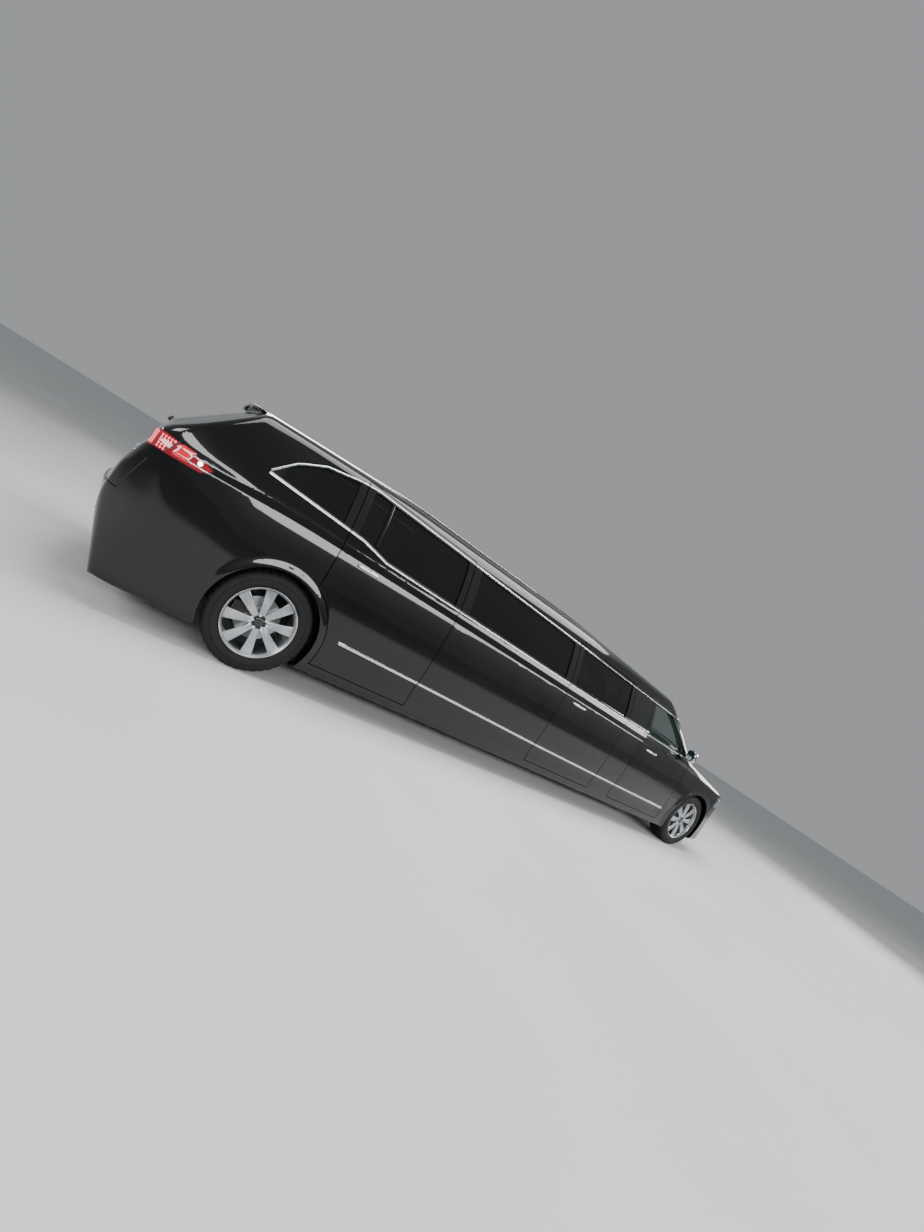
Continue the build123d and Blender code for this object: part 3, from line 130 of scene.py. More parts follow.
# Finishes, by name, each made when a piece first takes it
finishes = {
    # two-stage black acrylic with a polished clear coat: deep, wet, a trace of orange peel and dust
    "polishedBlackLacquer": {
        "dark": "040405", "light": "08090b", "rough": (0.20, 0.32), "cloudMm": 700, "grainMm": 60,
        "bump": 0.004, "deepMm": 0.05, "edgeMm": 3.0,
        "shader": {"Coat Weight": 1.0, "Coat Roughness": 0.03, "Specular IOR Level": 0.05, "Coat IOR": 1.45},
    },
    # privacy glass, dyed in the melt: near black, a mirror at a slant, faint wipe marks
    "privacyGlass": {
        "dark": "040506", "light": "090b0c", "rough": (0.015, 0.045), "cloudMm": 250, "grainMm": 400,
        "bump": 0.002, "deepMm": 0.2, "shader": {"Alpha": 0.80, "IOR": 1.52},
    },
    # laminated clear glass with a green edge
    "laminatedGlass": {
        "dark": "10201c", "light": "18302a", "rough": (0.01, 0.04), "cloudMm": 300, "grainMm": 350,
        "bump": 0.02, "deepMm": 0.2, "shader": {"Alpha": 0.30, "IOR": 1.52},
    },
    # chrome-plated ABS: mirror bright, a few water spots
    "platedChrome": {
        "dark": "c9ccd0", "light": "e2e4e6", "rough": (0.05, 0.13), "cloudMm": 60, "grainMm": 30,
        "bump": 0.02, "deepMm": 0.1, "edgeMm": 1.0, "shader": {"Metallic": 1.0},
    },
    # moulded red acrylic, lit from behind
    "litRedAcrylic": {
        "dark": "4c020c", "light": "700312", "rough": (0.05, 0.12), "cloudMm": 60, "grainMm": 9,
        "bump": 0.25, "deepMm": 0.5, "pattern": "cells",
        "shader": {"Coat Weight": 1.0, "Coat Roughness": 0.03, "Emission Color": linear("e0062a"),
                   "Emission Strength": 0.26},
    },
    # the lamp's smooth inner bulge, nearer to its bulb and so brighter
    "litRedBulge": {
        "dark": "8c0618", "light": "b20a22", "rough": (0.06, 0.14), "cloudMm": 50, "grainMm": 14,
        "bump": 0.05, "shader": {"Coat Weight": 1.0, "Coat Roughness": 0.03, "Emission Color": linear("f01438"),
                                 "Emission Strength": 0.55},
    },
    # red prismatic reflector, unlit
    "reflectorRed": {
        "dark": "5e0408", "light": "86060c", "rough": (0.08, 0.16), "cloudMm": 30, "grainMm": 4,
        "bump": 0.5, "deepMm": 0.6, "pattern": "cells", "shader": {"Coat Weight": 1.0, "Coat Roughness": 0.03},
    },
    # blue-grey glass of a projector lamp
    "lampGlass": {
        "dark": "6f7d88", "light": "a9b6bf", "rough": (0.02, 0.05), "cloudMm": 30, "grainMm": 60,
        "bump": 0.05, "shader": {"Metallic": 0.6, "Coat Weight": 1.0, "Coat Roughness": 0.02},
    },
    # frosted light guide, unlit
    "whiteLightGuide": {
        "dark": "c8ccd0", "light": "e4e7ea", "rough": (0.2, 0.35), "cloudMm": 40, "grainMm": 5,
        "bump": 0.2, "shader": {"Coat Weight": 0.5},
    },
    # LED dies behind the lens: pale pink cells that glow
    "glowingCells": {
        "dark": "f06a72", "light": "ff9a9a", "rough": (0.2, 0.4), "cloudMm": 12, "grainMm": 3,
        "bump": 0.2, "shader": {"Emission Color": linear("ff5468"), "Emission Strength": 1.15},
    },
    # the reversing bulb's clear cap
    "glowingBulb": {
        "dark": "fff0ea", "light": "ffffff", "rough": (0.1, 0.2), "cloudMm": 12, "grainMm": 3,
        "bump": 0.1, "shader": {"Emission Color": linear("ffe2da"), "Emission Strength": 7.0},
    },
    # clear hard-coated polycarbonate over the headlamps
    "clearPolycarbonate": {
        "dark": "8f979c", "light": "aab2b6", "rough": (0.02, 0.05), "cloudMm": 200, "grainMm": 120,
        "bump": 0.02, "shader": {"Alpha": 0.28, "IOR": 1.58, "Coat Weight": 1.0, "Coat Roughness": 0.02},
    },
    # sprayed PVC underseal: thick, matt, pebbled
    "sprayedUnderseal": {
        "dark": "111213", "light": "202224", "rough": (0.75, 0.95), "cloudMm": 180, "grainMm": 5,
        "bump": 0.8, "deepMm": 1.2, "pattern": "cells", "shader": {},
    },
    # grained polypropylene, a little greyed by the sun
    "grainedPolypropylene": {
        "dark": "0d0e0f", "light": "1b1c1e", "rough": (0.50, 0.68), "cloudMm": 120, "grainMm": 1.6,
        "bump": 0.45, "deepMm": 0.25, "pattern": "cells", "shader": {},
    },
    # soft black EPDM weatherstrip
    "softRubber": {
        "dark": "0a0a0b", "light": "161617", "rough": (0.6, 0.8), "cloudMm": 60, "grainMm": 2,
        "bump": 0.2, "shader": {},
    },
    # sand-cast aluminium, oil-dulled
    "castAluminium": {
        "dark": "5d6062", "light": "8a8d8f", "rough": (0.35, 0.60), "cloudMm": 90, "grainMm": 3,
        "bump": 0.6, "deepMm": 0.5, "shader": {"Metallic": 1.0},
    },
    # brazed aluminium fins
    "finnedAluminium": {
        "dark": "3a3c3e", "light": "66696b", "rough": (0.35, 0.5), "cloudMm": 50, "grainMm": 4,
        "bump": 0.9, "deepMm": 0.8, "stretch": (1.0, 0.05, 3.0), "shader": {"Metallic": 1.0},
    },
    # forged steel with a phosphate skin and road film
    "forgedSteel": {
        "dark": "2b2a29", "light": "575452", "rough": (0.40, 0.62), "cloudMm": 70, "grainMm": 4,
        "bump": 0.4, "deepMm": 0.3, "shader": {"Metallic": 0.9},
    },
    # aluminised steel pipe with heat stain
    "aluminisedSteel": {
        "dark": "6a6259", "light": "9b9790", "rough": (0.30, 0.50), "cloudMm": 140, "grainMm": 8,
        "bump": 0.15, "shader": {"Metallic": 1.0},
    },
    # slush-moulded dash skin
    "softTouchSkin": {
        "dark": "15161a", "light": "202226", "rough": (0.55, 0.72), "cloudMm": 150, "grainMm": 1.8,
        "bump": 0.5, "deepMm": 0.25, "pattern": "cells", "shader": {},
    },
    # full-grain leather, crease lines at the bends
    "fullGrainLeather": {
        "dark": "141314", "light": "262426", "rough": (0.38, 0.55), "cloudMm": 110, "grainMm": 2.6,
        "bump": 0.5, "deepMm": 0.35, "pattern": "cells", "shader": {"Sheen Weight": 0.1},
    },
    # waxed polyester thread, a shade lighter than the hide
    "waxedThread": {
        "dark": "3a383a", "light": "4c494c", "rough": (0.5, 0.7), "cloudMm": 30, "grainMm": 1,
        "bump": 0.3, "shader": {"Sheen Weight": 0.2},
    },
    # headliner cloth on the partition
    "wovenHeadliner": {
        "dark": "2a2a2c", "light": "3d3d40", "rough": (0.8, 0.95), "cloudMm": 40, "grainMm": 2.2,
        "bump": 0.6, "deepMm": 0.4, "shader": {"Sheen Weight": 0.3},
    },
    # walnut veneer under gloss lacquer: long dark figure
    "lacqueredWalnut": {
        "dark": "25130a", "light": "5c3417", "rough": (0.10, 0.20), "cloudMm": 60, "grainMm": 4,
        "bump": 0.1, "stretch": (0.18, 1.0, 3.0), "shader": {"Coat Weight": 1.0, "Coat Roughness": 0.04},
    },
    # cast alloy under silver powder coat and clear
    "silverPowderCoat": {
        "dark": "8d9093", "light": "b4b7ba", "rough": (0.24, 0.36), "cloudMm": 120, "grainMm": 2,
        "bump": 0.08, "edgeMm": 1.5, "shader": {"Metallic": 0.85, "Coat Weight": 0.6, "Coat Roughness": 0.08},
    },
    # tyre compound: carbon black, dusty on the shoulders
    "tyreCompound": {
        "dark": "08080a", "light": "151415", "rough": (0.62, 0.82), "cloudMm": 60, "grainMm": 3,
        "bump": 0.3, "deepMm": 0.3, "shader": {"Specular IOR Level": 0.3},
    },
    # blank embossed aluminium plate under white film
    "blankPlate": {
        "dark": "c4c7c6", "light": "dadcda", "rough": (0.35, 0.5), "cloudMm": 60, "grainMm": 3,
        "bump": 0.1, "shader": {},
    },
    # gloss black pillar cover, injection moulded
    "glossBlackCover": {
        "dark": "060607", "light": "0b0b0d", "rough": (0.06, 0.12), "cloudMm": 90, "grainMm": 40,
        "bump": 0.02, "shader": {"Coat Weight": 0.5},
    },
    # dark satin insert between and behind the bars
    "satinBlackInsert": {
        "dark": "090a0b", "light": "131416", "rough": (0.45, 0.6), "cloudMm": 50, "grainMm": 3,
        "bump": 0.15, "shader": {},
    },
    # silvered mirror glass
    "silveredGlass": {
        "dark": "aab0b4", "light": "c0c6ca", "rough": (0.01, 0.03), "cloudMm": 60, "grainMm": 60,
        "bump": 0.01, "shader": {"Metallic": 1.0},
    },
}
made = {}


def finish(name):
    if name not in made:
        made[name] = makeFinish(name, finishes[name])
    return made[name]


def placePiece(name, mesh, body):
    # an object at the origin that rides on its body
    obj = bpy.data.objects.new(name, mesh)
    bpy.context.scene.collection.objects.link(obj)
    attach(obj, body)
    return obj


def ringFaces(count, ring, ends="capped"):
    # faces from each ring of points to the next; the ends are capped, open or joined to one another
    rows = count if ends == "joined" else count - 1
    faces = [(i * ring + k, i * ring + (k + 1) % ring, (i + 1) % count * ring + (k + 1) % ring,
              (i + 1) % count * ring + k) for i in range(rows) for k in range(ring)]
    if ends == "capped":
        faces += [tuple(range(ring)), tuple(range((count - 1) * ring, count * ring))]
    return faces


def meshPoints(mesh):
    points = np.empty(len(mesh.vertices) * 3, np.float32)
    mesh.vertices.foreach_get("co", points)
    return points.reshape(-1, 3)


def addPiece(name, verts, faces, finishName, body, slot, smooth=40):
    # a mesh piece in its place, shaded smooth up to an angle, riding on its body
    mesh = bpy.data.meshes.new(name)
    mesh.from_pydata([tuple(v) for v in verts], [], [tuple(f) for f in faces])
    bm = bmesh.new()
    bm.from_mesh(mesh)
    bmesh.ops.remove_doubles(bm, verts=bm.verts, dist=1e-6)
    bmesh.ops.recalc_face_normals(bm, faces=bm.faces)
    bm.to_mesh(mesh)
    bm.free()
    mesh.materials.append(finish(finishName))
    mesh.shade_smooth()
    mesh.set_sharp_from_angle(angle=math.radians(smooth))
    return placePiece(name, mesh, body)


# The body's form: the same lines as the solids, blended where the solids meet in an edge
def arcThrough(a, m, b, count=28):
    a, m, b = (np.array(p, float) for p in (a, m, b))
    centre = np.linalg.solve(2 * np.array([m - a, b - a]), [m @ m - a @ a, b @ b - a @ a])
    start, middle, end = (math.atan2(p[1] - centre[1], p[0] - centre[0]) for p in (a, m, b))
    sweep = (end - start) % (2 * math.pi)
    if (middle - start) % (2 * math.pi) > sweep:
        sweep -= 2 * math.pi
    turn = start + sweep * np.linspace(0, 1, count + 1)
    return centre + np.linalg.norm(a - centre) * np.stack([np.cos(turn), np.sin(turn)], 1)


def joinLine(*parts):
    # one line from points and arcs, with no step longer than 30 mm
    points = np.vstack([np.atleast_2d(np.array(p, float)) for p in parts])
    out = [points[0]]
    for p in points[1:]:
        step = np.linalg.norm(p - out[-1])
        if step < 1e-6:
            continue
        count = max(1, math.ceil(step / 0.03))
        out += [out[-1] + (p - out[-1]) * (i + 1) / count for i in range(count)]
    return np.array(out)


sectionLine = joinLine(
    (0.915, -0.6), arcThrough((0.915, 0), (0.965, 0.640), (0.925, 1.170)),
    arcThrough((0.925, 1.170), (0.8505, 1.3675), (0.748, 1.565)),
    arcThrough((0.748, 1.565), (0.680, 1.653), (0.575, 1.705)), (0.575, 2.3),
)
planLine = joinLine(
    arcThrough((nose, 0), (nose - 0.022, 0.320), (nose - 0.095, 0.640)),
    arcThrough((nose - 0.095, 0.640), (nose - 0.190, 0.800), (nose - 0.400, 0.902)),
    arcThrough((nose - 0.400, 0.902), (nose - 0.610, 0.951), (frontAxle + 0.120, 0.967)),
    arcThrough((rearAxle - 0.220, 0.967), (tail + 0.690, 0.950), (tail + 0.400, 0.908)),
    arcThrough((tail + 0.400, 0.908), (tail + 0.196, 0.818), (tail + 0.062, 0.660)),
    arcThrough((tail + 0.062, 0.660), (tail + 0.014, 0.340), (tail, 0)),
)
profileLine = joinLine(
    (tail + 0.172, 2.3), (tail + 0.172, 1.209), (tail + 0.142, 1.130), (tail + 0.140, 1.066),
    (tail + 0.110, 1.000), (tail + 0.056, 0.830), (tail + 0.030, 0.704), (tail, 0.684),
    arcThrough((tail + 0.014, 0.664), (tail + 0.128, 0.400), (tail + 0.215, 0.175)),
    arcThrough((nose - 0.105, 0.175), (nose - 0.022, 0.310), (nose, 0.470)),
    arcThrough((nose, 0.470), (nose - 0.010, 0.660), (nose - 0.062, 0.900)), (nose - 0.062, 2.3),
)


def lineField(line, spots):
    # signed distance from a line in a plane, and the direction away from it
    a, way = line[:-1], line[1:] - line[:-1]
    long = np.linalg.norm(way, axis=1)
    face = np.stack([way[:, 1], -way[:, 0]], 1) / long[:, None]
    joint = np.vstack([face[:1], face[:-1] + face[1:], face[-1:]])
    joint /= np.linalg.norm(joint, axis=1)[:, None]
    value, away = np.empty(len(spots)), np.empty((len(spots), 2))
    batch = 6000
    for low in range(0, len(spots), batch):
        p = spots[low:low + batch, None]
        t = np.clip(((p - a) * way).sum(2) / long ** 2, 0, 1)
        d2 = ((p - a - way * t[..., None]) ** 2).sum(2)
        k = d2.argmin(1)
        row = np.arange(len(k))
        t = t[row, k][:, None]
        n = joint[k] * (1 - t) + joint[k + 1] * t
        n /= np.linalg.norm(n, axis=1)[:, None]
        near = a[k] + way[k] * t
        value[low:low + batch] = np.sqrt(d2[row, k]) * np.sign(((p[:, 0] - near) * n).sum(1))
        away[low:low + batch] = n
    return value, away


def lineMap(line, low, high, step=0.01):
    # the field on a grid, read back between its points
    count = [int((h - l) / step) + 1 for l, h in zip(low, high)]
    axes = [l + step * np.arange(c) for l, c in zip(low, count)]
    spots = np.stack(np.meshgrid(*axes, indexing="ij"), -1).reshape(-1, 2)
    value, away = lineField(line, spots)
    table = np.concatenate([value[:, None], away], 1).reshape(count[0], count[1], 3)

    def read(u, v):
        fu = np.clip((u - low[0]) / step, 0, count[0] - 1.001)
        fv = np.clip((v - low[1]) / step, 0, count[1] - 1.001)
        i, j = fu.astype(int), fv.astype(int)
        fu, fv = (fu - i)[:, None], (fv - j)[:, None]
        near = (table[i, j] * (1 - fu) + table[i + 1, j] * fu) * (1 - fv) \
            + (table[i, j + 1] * (1 - fu) + table[i + 1, j + 1] * fu) * fv
        return near[:, 0], near[:, 1:]
    return read


sectionMap = lineMap(sectionLine, (0, -0.1), (1.2, 1.9))
planMap = lineMap(planLine, (-4.3, 0), (4.3, 1.2))
profileMap = lineMap(profileLine, (-4.3, -0.1), (4.3, 1.9))

# crowned surfaces: start, end, sag at the side of the glass, side of the line that is outside
crownAt, crownHalf = 0.82, 1.065
crowns = {
    "windscreen": ((frontAxle - 0.343, 1.140), (frontAxle - 1.145, 1.650), 0.130, -1),
    "backScreen": ((rearAxle - 1.105, 1.200), (rearAxle - 0.595, 1.655), 0.050, 1),
    "roofFront": ((frontAxle - 1.145, 1.650), (rearAxle + 2.900, 1.745), 0.070, -1),
    "roofMiddle": ((rearAxle + 2.900, 1.745), (rearAxle + 0.700, 1.745), 0.070, -1),
    "roofRear": ((rearAxle + 0.700, 1.745), (rearAxle - 0.595, 1.655), 0.070, -1),
    "hoodMain": ((frontAxle - 0.343, 1.152), (nose - 0.360, 1.005), 0.078, 1),
    "hoodNose": ((nose - 0.360, 1.005), (nose - 0.060, 0.885), 0.078, 1),
}


def crownField(key, x, wide, z):
    (sx, sz), (ex, ez), sag, outward = crowns[key]
    run = math.hypot(ex - sx, ez - sz)
    nx, nz = -outward * (ez - sz) / run, outward * (ex - sx) / run
    drop = sag * (crownHalf / crownAt) ** 2
    radius = (crownHalf ** 2 + drop ** 2) / (2 * drop)
    up = (x - sx) * nx + (z - sz) * nz + radius
    far = np.sqrt(wide ** 2 + up ** 2)
    return far - radius, np.stack([nx * up / far, wide / far, nz * up / far], 1)


def blendHigh(one, two, width):
    # the larger of two fields, rounded where they meet
    h = np.clip(0.5 + 0.5 * (one[0] - two[0]) / width, 0, 1)
    value = two[0] + (one[0] - two[0]) * h + width * h * (1 - h)
    return value, one[1] * h[:, None] + two[1] * (1 - h)[:, None]


def blendLow(one, two, width):
    # the smaller of two fields
    value, n = blendHigh((-one[0], -one[1]), (-two[0], -two[1]), width)
    return -value, -n


def easeStep(t):
    t = np.clip(t, 0, 1)
    return t * t * (3 - 2 * t)


# the side windows' corners: (x, z) of the lower edge from the tail, and the upper edge's two heights
windowLine = {"tip": (rearAxle - 0.443, 1.292), "kickTop": (rearAxle + 0.337, 1.243),
              "kickFoot": (rearAxle + 0.568, 1.190), "frontLow": 1.098, "backHigh": 1.598, "frontHigh": 1.430}


def betweenKickAndMirror(x, back):
    return (x - back) / (frontDoor["front"] - back)


def waistLine(x):
    # height of the side windows' lower edge, with the kick at the rear door
    kick = [windowLine[k] for k in ("tip", "kickTop", "kickFoot")]
    foot, footHigh = windowLine["kickFoot"]
    ahead = footHigh + betweenKickAndMirror(x, foot) * (windowLine["frontLow"] - footHigh)
    return np.interp(x, [p[0] for p in kick], [p[1] for p in kick]) * (x < foot) + ahead * (x >= foot)


def headLine(x):
    # height of the side windows' upper edge
    share = betweenKickAndMirror(x, windowLine["kickTop"][0])
    return windowLine["backHigh"] + share * (windowLine["frontHigh"] - windowLine["backHigh"])


sculpt = {
    "archInner": 0.405, "archLip": 0.009, "archReach": 0.075, "shoulder": 0.009, "shoulderTall": 0.060,
    "scallop": 0.012, "scallopHigh": 0.42, "scallopWide": 0.075, "scallopFall": 0.014,
}
# how widely the body's surfaces blend, in the order of use
blends = {"section": 0.09, "profile": 0.045, "roofParts": 0.012, "roof": 0.05, "backScreen": 0.03,
          "hood": 0.04, "hoodParts": 0.03}


def shoulderLine(x):
    # height of the shoulder's crease, from the tail lamp to the hood's corner, with soft bends
    return 1.1260 - 0.0205 * (x - rearAxle) - 0.052 * np.exp(-((x - rearAxle + 0.95) / 0.55) ** 2) \
        - 0.085 * easeStep((x - frontAxle + 0.9) / 1.6)


def sculptField(x, z):
    # what is taken off the side's plain form (or put on, below zero): arch lips, shoulder, scallop over the sill
    out = np.zeros_like(x)
    for axle in (frontAxle, rearAxle):
        r = np.hypot(x - axle, z - car["axleHigh"])
        t = np.clip((r - sculpt["archInner"]) / sculpt["archReach"], 0, 1)
        out -= sculpt["archLip"] * 0.5 * (1 + np.cos(math.pi * t))
    away = easeStep((x - rearAxle - 0.42) / 0.35) * easeStep((frontAxle - 0.42 - x) / 0.35)
    out += sculpt["shoulder"] * easeStep((z - shoulderLine(x)) / sculpt["shoulderTall"] + 0.5)
    mid = sculpt["scallopHigh"] - sculpt["scallopFall"] * (x - rearAxle - 0.6)
    out += sculpt["scallop"] * np.exp(-((z - mid) / sculpt["scallopWide"]) ** 2) * away
    return out


def formField(points, soft=True):
    # how far outside the body's skin each point lies, and the way out
    x, y, z = points.T
    wide = np.abs(y)
    mirror = np.where(y < 0, -1.0, 1.0)
    flat = np.zeros_like(x)
    value, n = sectionMap(wide, z)
    section = (value, np.stack([flat, n[:, 0], n[:, 1]], 1))
    value, n = planMap(x, wide)
    if soft:
        # between the axles the plan's blend is kept off the sides
        value = value - 0.1 * easeStep((x - (rearAxle - 0.65)) / 0.35) * easeStep((frontAxle + 0.55 - x) / 0.35)
    plan = (value, np.stack([n[:, 0], n[:, 1], flat], 1))
    value, n = profileMap(x, z)
    profile = (value, np.stack([n[:, 0], flat, n[:, 1]], 1))
    top = {key: crownField(key, x, wide, z) for key in crowns}
    k = blends if soft else dict.fromkeys(blends, 1e-9)
    out = blendHigh(section, plan, k["section"])
    out = blendHigh(out, profile, k["profile"])
    roof = blendHigh(top["roofFront"], top["roofMiddle"], k["roofParts"])
    out = blendHigh(out, blendHigh(roof, top["roofRear"], k["roofParts"]), k["roof"])
    out = blendHigh(out, top["backScreen"], k["backScreen"])
    hood = blendHigh(top["hoodMain"], top["hoodNose"], k["hoodParts"])
    value, n = blendHigh(out, blendLow(hood, top["windscreen"], k["hoodParts"]), k["hood"])
    if soft:
        side = np.clip(np.abs(n[:, 1]) * 1.6 - 0.5, 0, 1)
        here = sculptField(x, z)
        step = 0.002
        slopeX = (sculptField(x + step, z) - sculptField(x - step, z)) / (2 * step)
        slopeZ = (sculptField(x, z + step) - sculptField(x, z - step)) / (2 * step)
        value = value + here * side
        n = n + np.stack([slopeX * side, flat, slopeZ * side], 1)
    n = n / np.maximum(np.linalg.norm(n, axis=1), 1e-9)[:, None]
    n[:, 1] *= mirror
    return value, n


def sidePoint(x, z, side, out=0.0):
    # the skin's points and directions at places seen from the side
    x, z = np.broadcast_arrays(np.atleast_1d(np.asarray(x, float)), np.asarray(z, float))
    points = np.stack([x, np.full_like(x, side * 0.95), z], 1)
    for _ in range(8):
        value, n = formField(points)
        points[:, 1] -= (value - out) / np.where(np.abs(n[:, 1]) < 0.2, 0.2 * side, n[:, 1])
    return points, formField(points)[1]


def endPoint(y, z, end, out=0.0):
    # the same, looking along the car; end is 1 at the nose and -1 at the tail
    y, z = np.broadcast_arrays(np.atleast_1d(np.asarray(y, float)), np.asarray(z, float))
    points = np.stack([np.full_like(y, end * 4.0), y, z], 1)
    for _ in range(10):
        value, n = formField(points)
        points[:, 0] -= (value - out) / np.where(np.abs(n[:, 0]) < 0.25, 0.25 * end, n[:, 0])
    return points, formField(points)[1]


# Panels and panes: a finer copy of each solid, drawn on to the blended form
shellLook = {"edge": 0.05, "thinFrom": 12000, "thinTo": 0.26, "proud": 0.0016}


def longestEdge(middle):
    # finer at the arch lips, along the shoulder and round the tail, where the light bends most
    x, y, z = middle.T
    reach = np.minimum(*(np.hypot(x - axle, z - car["axleHigh"]) for axle in (frontAxle, rearAxle)))
    fine = (reach > 0.40) & (reach < 0.50)
    fine |= np.abs(z - shoulderLine(x)) < 0.07
    fine |= (x < tail + 0.75) & (z > 0.60)
    fine &= (np.abs(y) >= 0.80) | (x <= tail + 0.9)
    return shellLook["edge"] * np.where(fine, 0.5, 1.0)


def finerMesh(node):
    bm = bmesh.new()
    bm.from_mesh(nodes[node].data)
    bmesh.ops.remove_doubles(bm, verts=bm.verts, dist=2e-5)
    draft = bpy.data.meshes.new("draft")
    for _ in range(10):
        bm.to_mesh(draft)
        ends = np.empty(len(draft.edges) * 2, np.int32)
        draft.edges.foreach_get("vertices", ends)
        first, second = meshPoints(draft)[ends.reshape(-1, 2)].transpose(1, 0, 2)
        long = np.linalg.norm(first - second, axis=1) > longestEdge((first + second) / 2)
        if not long.any():
            break
        bm.edges.ensure_lookup_table()
        bmesh.ops.subdivide_edges(bm, edges=[bm.edges[i] for i in np.nonzero(long)[0]], cuts=1)
        bmesh.ops.triangulate(bm, faces=[f for f in bm.faces if len(f.verts) > 3])
    bpy.data.meshes.remove(draft)
    return bm


def thinned(mesh, share):
    # drops the needle triangles that the refinement leaves on nearly flat panels
    holder = bpy.data.objects.new("draft", mesh)
    bpy.context.scene.collection.objects.link(holder)
    holder.modifiers.new("thin", "DECIMATE").ratio = share
    result = bpy.data.meshes.new_from_object(holder.evaluated_get(bpy.context.evaluated_depsgraph_get()))
    bpy.data.objects.remove(holder)
    bpy.data.meshes.remove(mesh)
    return result


def addShell(name, node, finishName, body, drop=None):
    # drop picks the points that other pieces stand for
    bm = finerMesh(node)
    if drop:
        bm.verts.ensure_lookup_table()
        points = np.array([v.co for v in bm.verts])
        gone = drop(points, formField(points, False)[0])
        bmesh.ops.delete(bm, geom=[bm.verts[i] for i in np.nonzero(gone)[0]], context="VERTS")
    mesh = bpy.data.meshes.new(name)
    bm.to_mesh(mesh)
    bm.free()
    moved = meshPoints(mesh).astype(float)
    hard = formField(moved, False)[0]
    for _ in range(3):
        value, n = formField(moved)
        moved -= (value - hard)[:, None] * n
    mesh.vertices.foreach_set("co", moved.astype(np.float32).ravel())
    mesh.update()
    if len(mesh.polygons) > shellLook["thinFrom"]:
        mesh = thinned(mesh, shellLook["thinTo"])
        mesh.name = name
    n = formField(meshPoints(mesh).astype(float))[1]
    faceNormal = np.empty(len(mesh.polygons) * 3, np.float32)
    mesh.polygons.foreach_get("normal", faceNormal)
    faceNormal = faceNormal.reshape(-1, 3)
    corner = np.empty(len(mesh.loops), np.int32)
    mesh.loops.foreach_get("vertex_index", corner)
    corner = corner.reshape(-1, 3)
    # the skin and the wall behind it are shaded with the form's own direction, edges and folds with their own
    facing = (faceNormal[:, None] * n[corner]).sum(2)
    use = np.where(facing > 0.8, 1, np.where(facing < -0.9, -1, 0))
    turned = np.where(use[..., None] != 0, n[corner] * use[..., None], faceNormal[:, None])
    mesh.materials.clear()
    mesh.materials.append(finish(finishName))
    mesh.shade_smooth()
    mesh.normals_split_custom_set(turned.reshape(-1, 3))
    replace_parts(placePiece(name, mesh, body), node)


def proudBits(points, outside):
    # the plain grips and mirror blocks, which finer pieces stand for
    return (outside > shellLook["proud"]) & (np.abs(points[:, 1]) > 0.8)


def spoilerBits(points, outside):
    # the plain spoiler block, which the shaped blade stands for
    return (outside > shellLook["proud"]) & (points[:, 2] > 1.60)


paint = ("polishedBlackLacquer", "black_paint")
tint, clear = ("privacyGlass", "tinted_glass"), ("laminatedGlass", "clear_glass")
redLens = ("litRedAcrylic", "red_lens")
# name, node, (finish, slot), body
shells = [
    ("bodySideLeft", "body_side_left", paint, "body"), ("bodySideRight", "body_side_right", paint, "body"),
    ("frontFenders", "front_fenders", paint, "body"), ("roofSkin", "roof_panel", paint, "body"),
    ("frontBumperCover", "front_bumper", paint, "body"), ("rearBumperCover", "rear_bumper", paint, "body"),
    ("grilleFrame", "grille", ("platedChrome", "chrome_trim"), "body"),
    ("headlampLens", "headlamps", ("clearPolycarbonate", "lamp_lens"), "body"),
    ("cornerTailLamps", "tail_lamps", redLens, "body"),
    ("windscreenGlass", "windscreen", clear, "body"),
    ("cowlPanel", "cowl", ("grainedPolypropylene", "cowl_plastic"), "body"),
    ("fixedSideGlass", "side_glass", tint, "body"), ("hoodPanel", "hood", paint, "hood"),
    ("liftgatePanel", "liftgate", paint, "liftgate"), ("liftgateGlass", "liftgate_glass", tint, "liftgate"),
    ("liftgateLampBar", "liftgate_lamps", redLens, "liftgate"),
]
for door in ("front_door_left", "front_door_right", "rear_door_left", "rear_door_right", "middle_door_right"):
    where, hand = door.split("_door_")
    title = where + "Door" + hand.capitalize()
    shells.append((title + "Panel", door, paint, door))
    shells.append((title + "Glass", f"{where}_door_glass_{hand}", clear if where == "front" else tint, door))
for name, node, (finishName, slot), body in shells:
    drop = proudBits if "Door" in name and "Panel" in name else spoilerBits if name == "liftgatePanel" else None
    addShell(name, node, finishName, body, drop=drop)
print("body shells drawn on the blended form")


# Brightwork: strips swept along lines on the skin, one for each panel that they cross
def sweepStrip(name, points, normals, across, proud, finishName, body, slot, sink=0.002):
    # a strip with a crowned face: points along it, the way out, its width and how far it stands out
    points, normals = np.asarray(points), np.asarray(normals)
    way = np.gradient(points, axis=0)
    way /= np.linalg.norm(way, axis=1)[:, None]
    beside = np.cross(way, normals)
    beside /= np.linalg.norm(beside, axis=1)[:, None]
    turn = np.linspace(0, math.pi, 7)
    profile = [(-across / 2, -sink)] + [(-math.cos(t) * across / 2, proud * math.sin(t) ** 0.7) for t in turn] \
        + [(across / 2, -sink)]
    verts = np.concatenate([points[:, None] + beside[:, None] * u + normals[:, None] * v
                            for u, v in profile], 1).reshape(-1, 3)
    return addPiece(name, verts, ringFaces(len(points), len(profile)), finishName, body, slot)


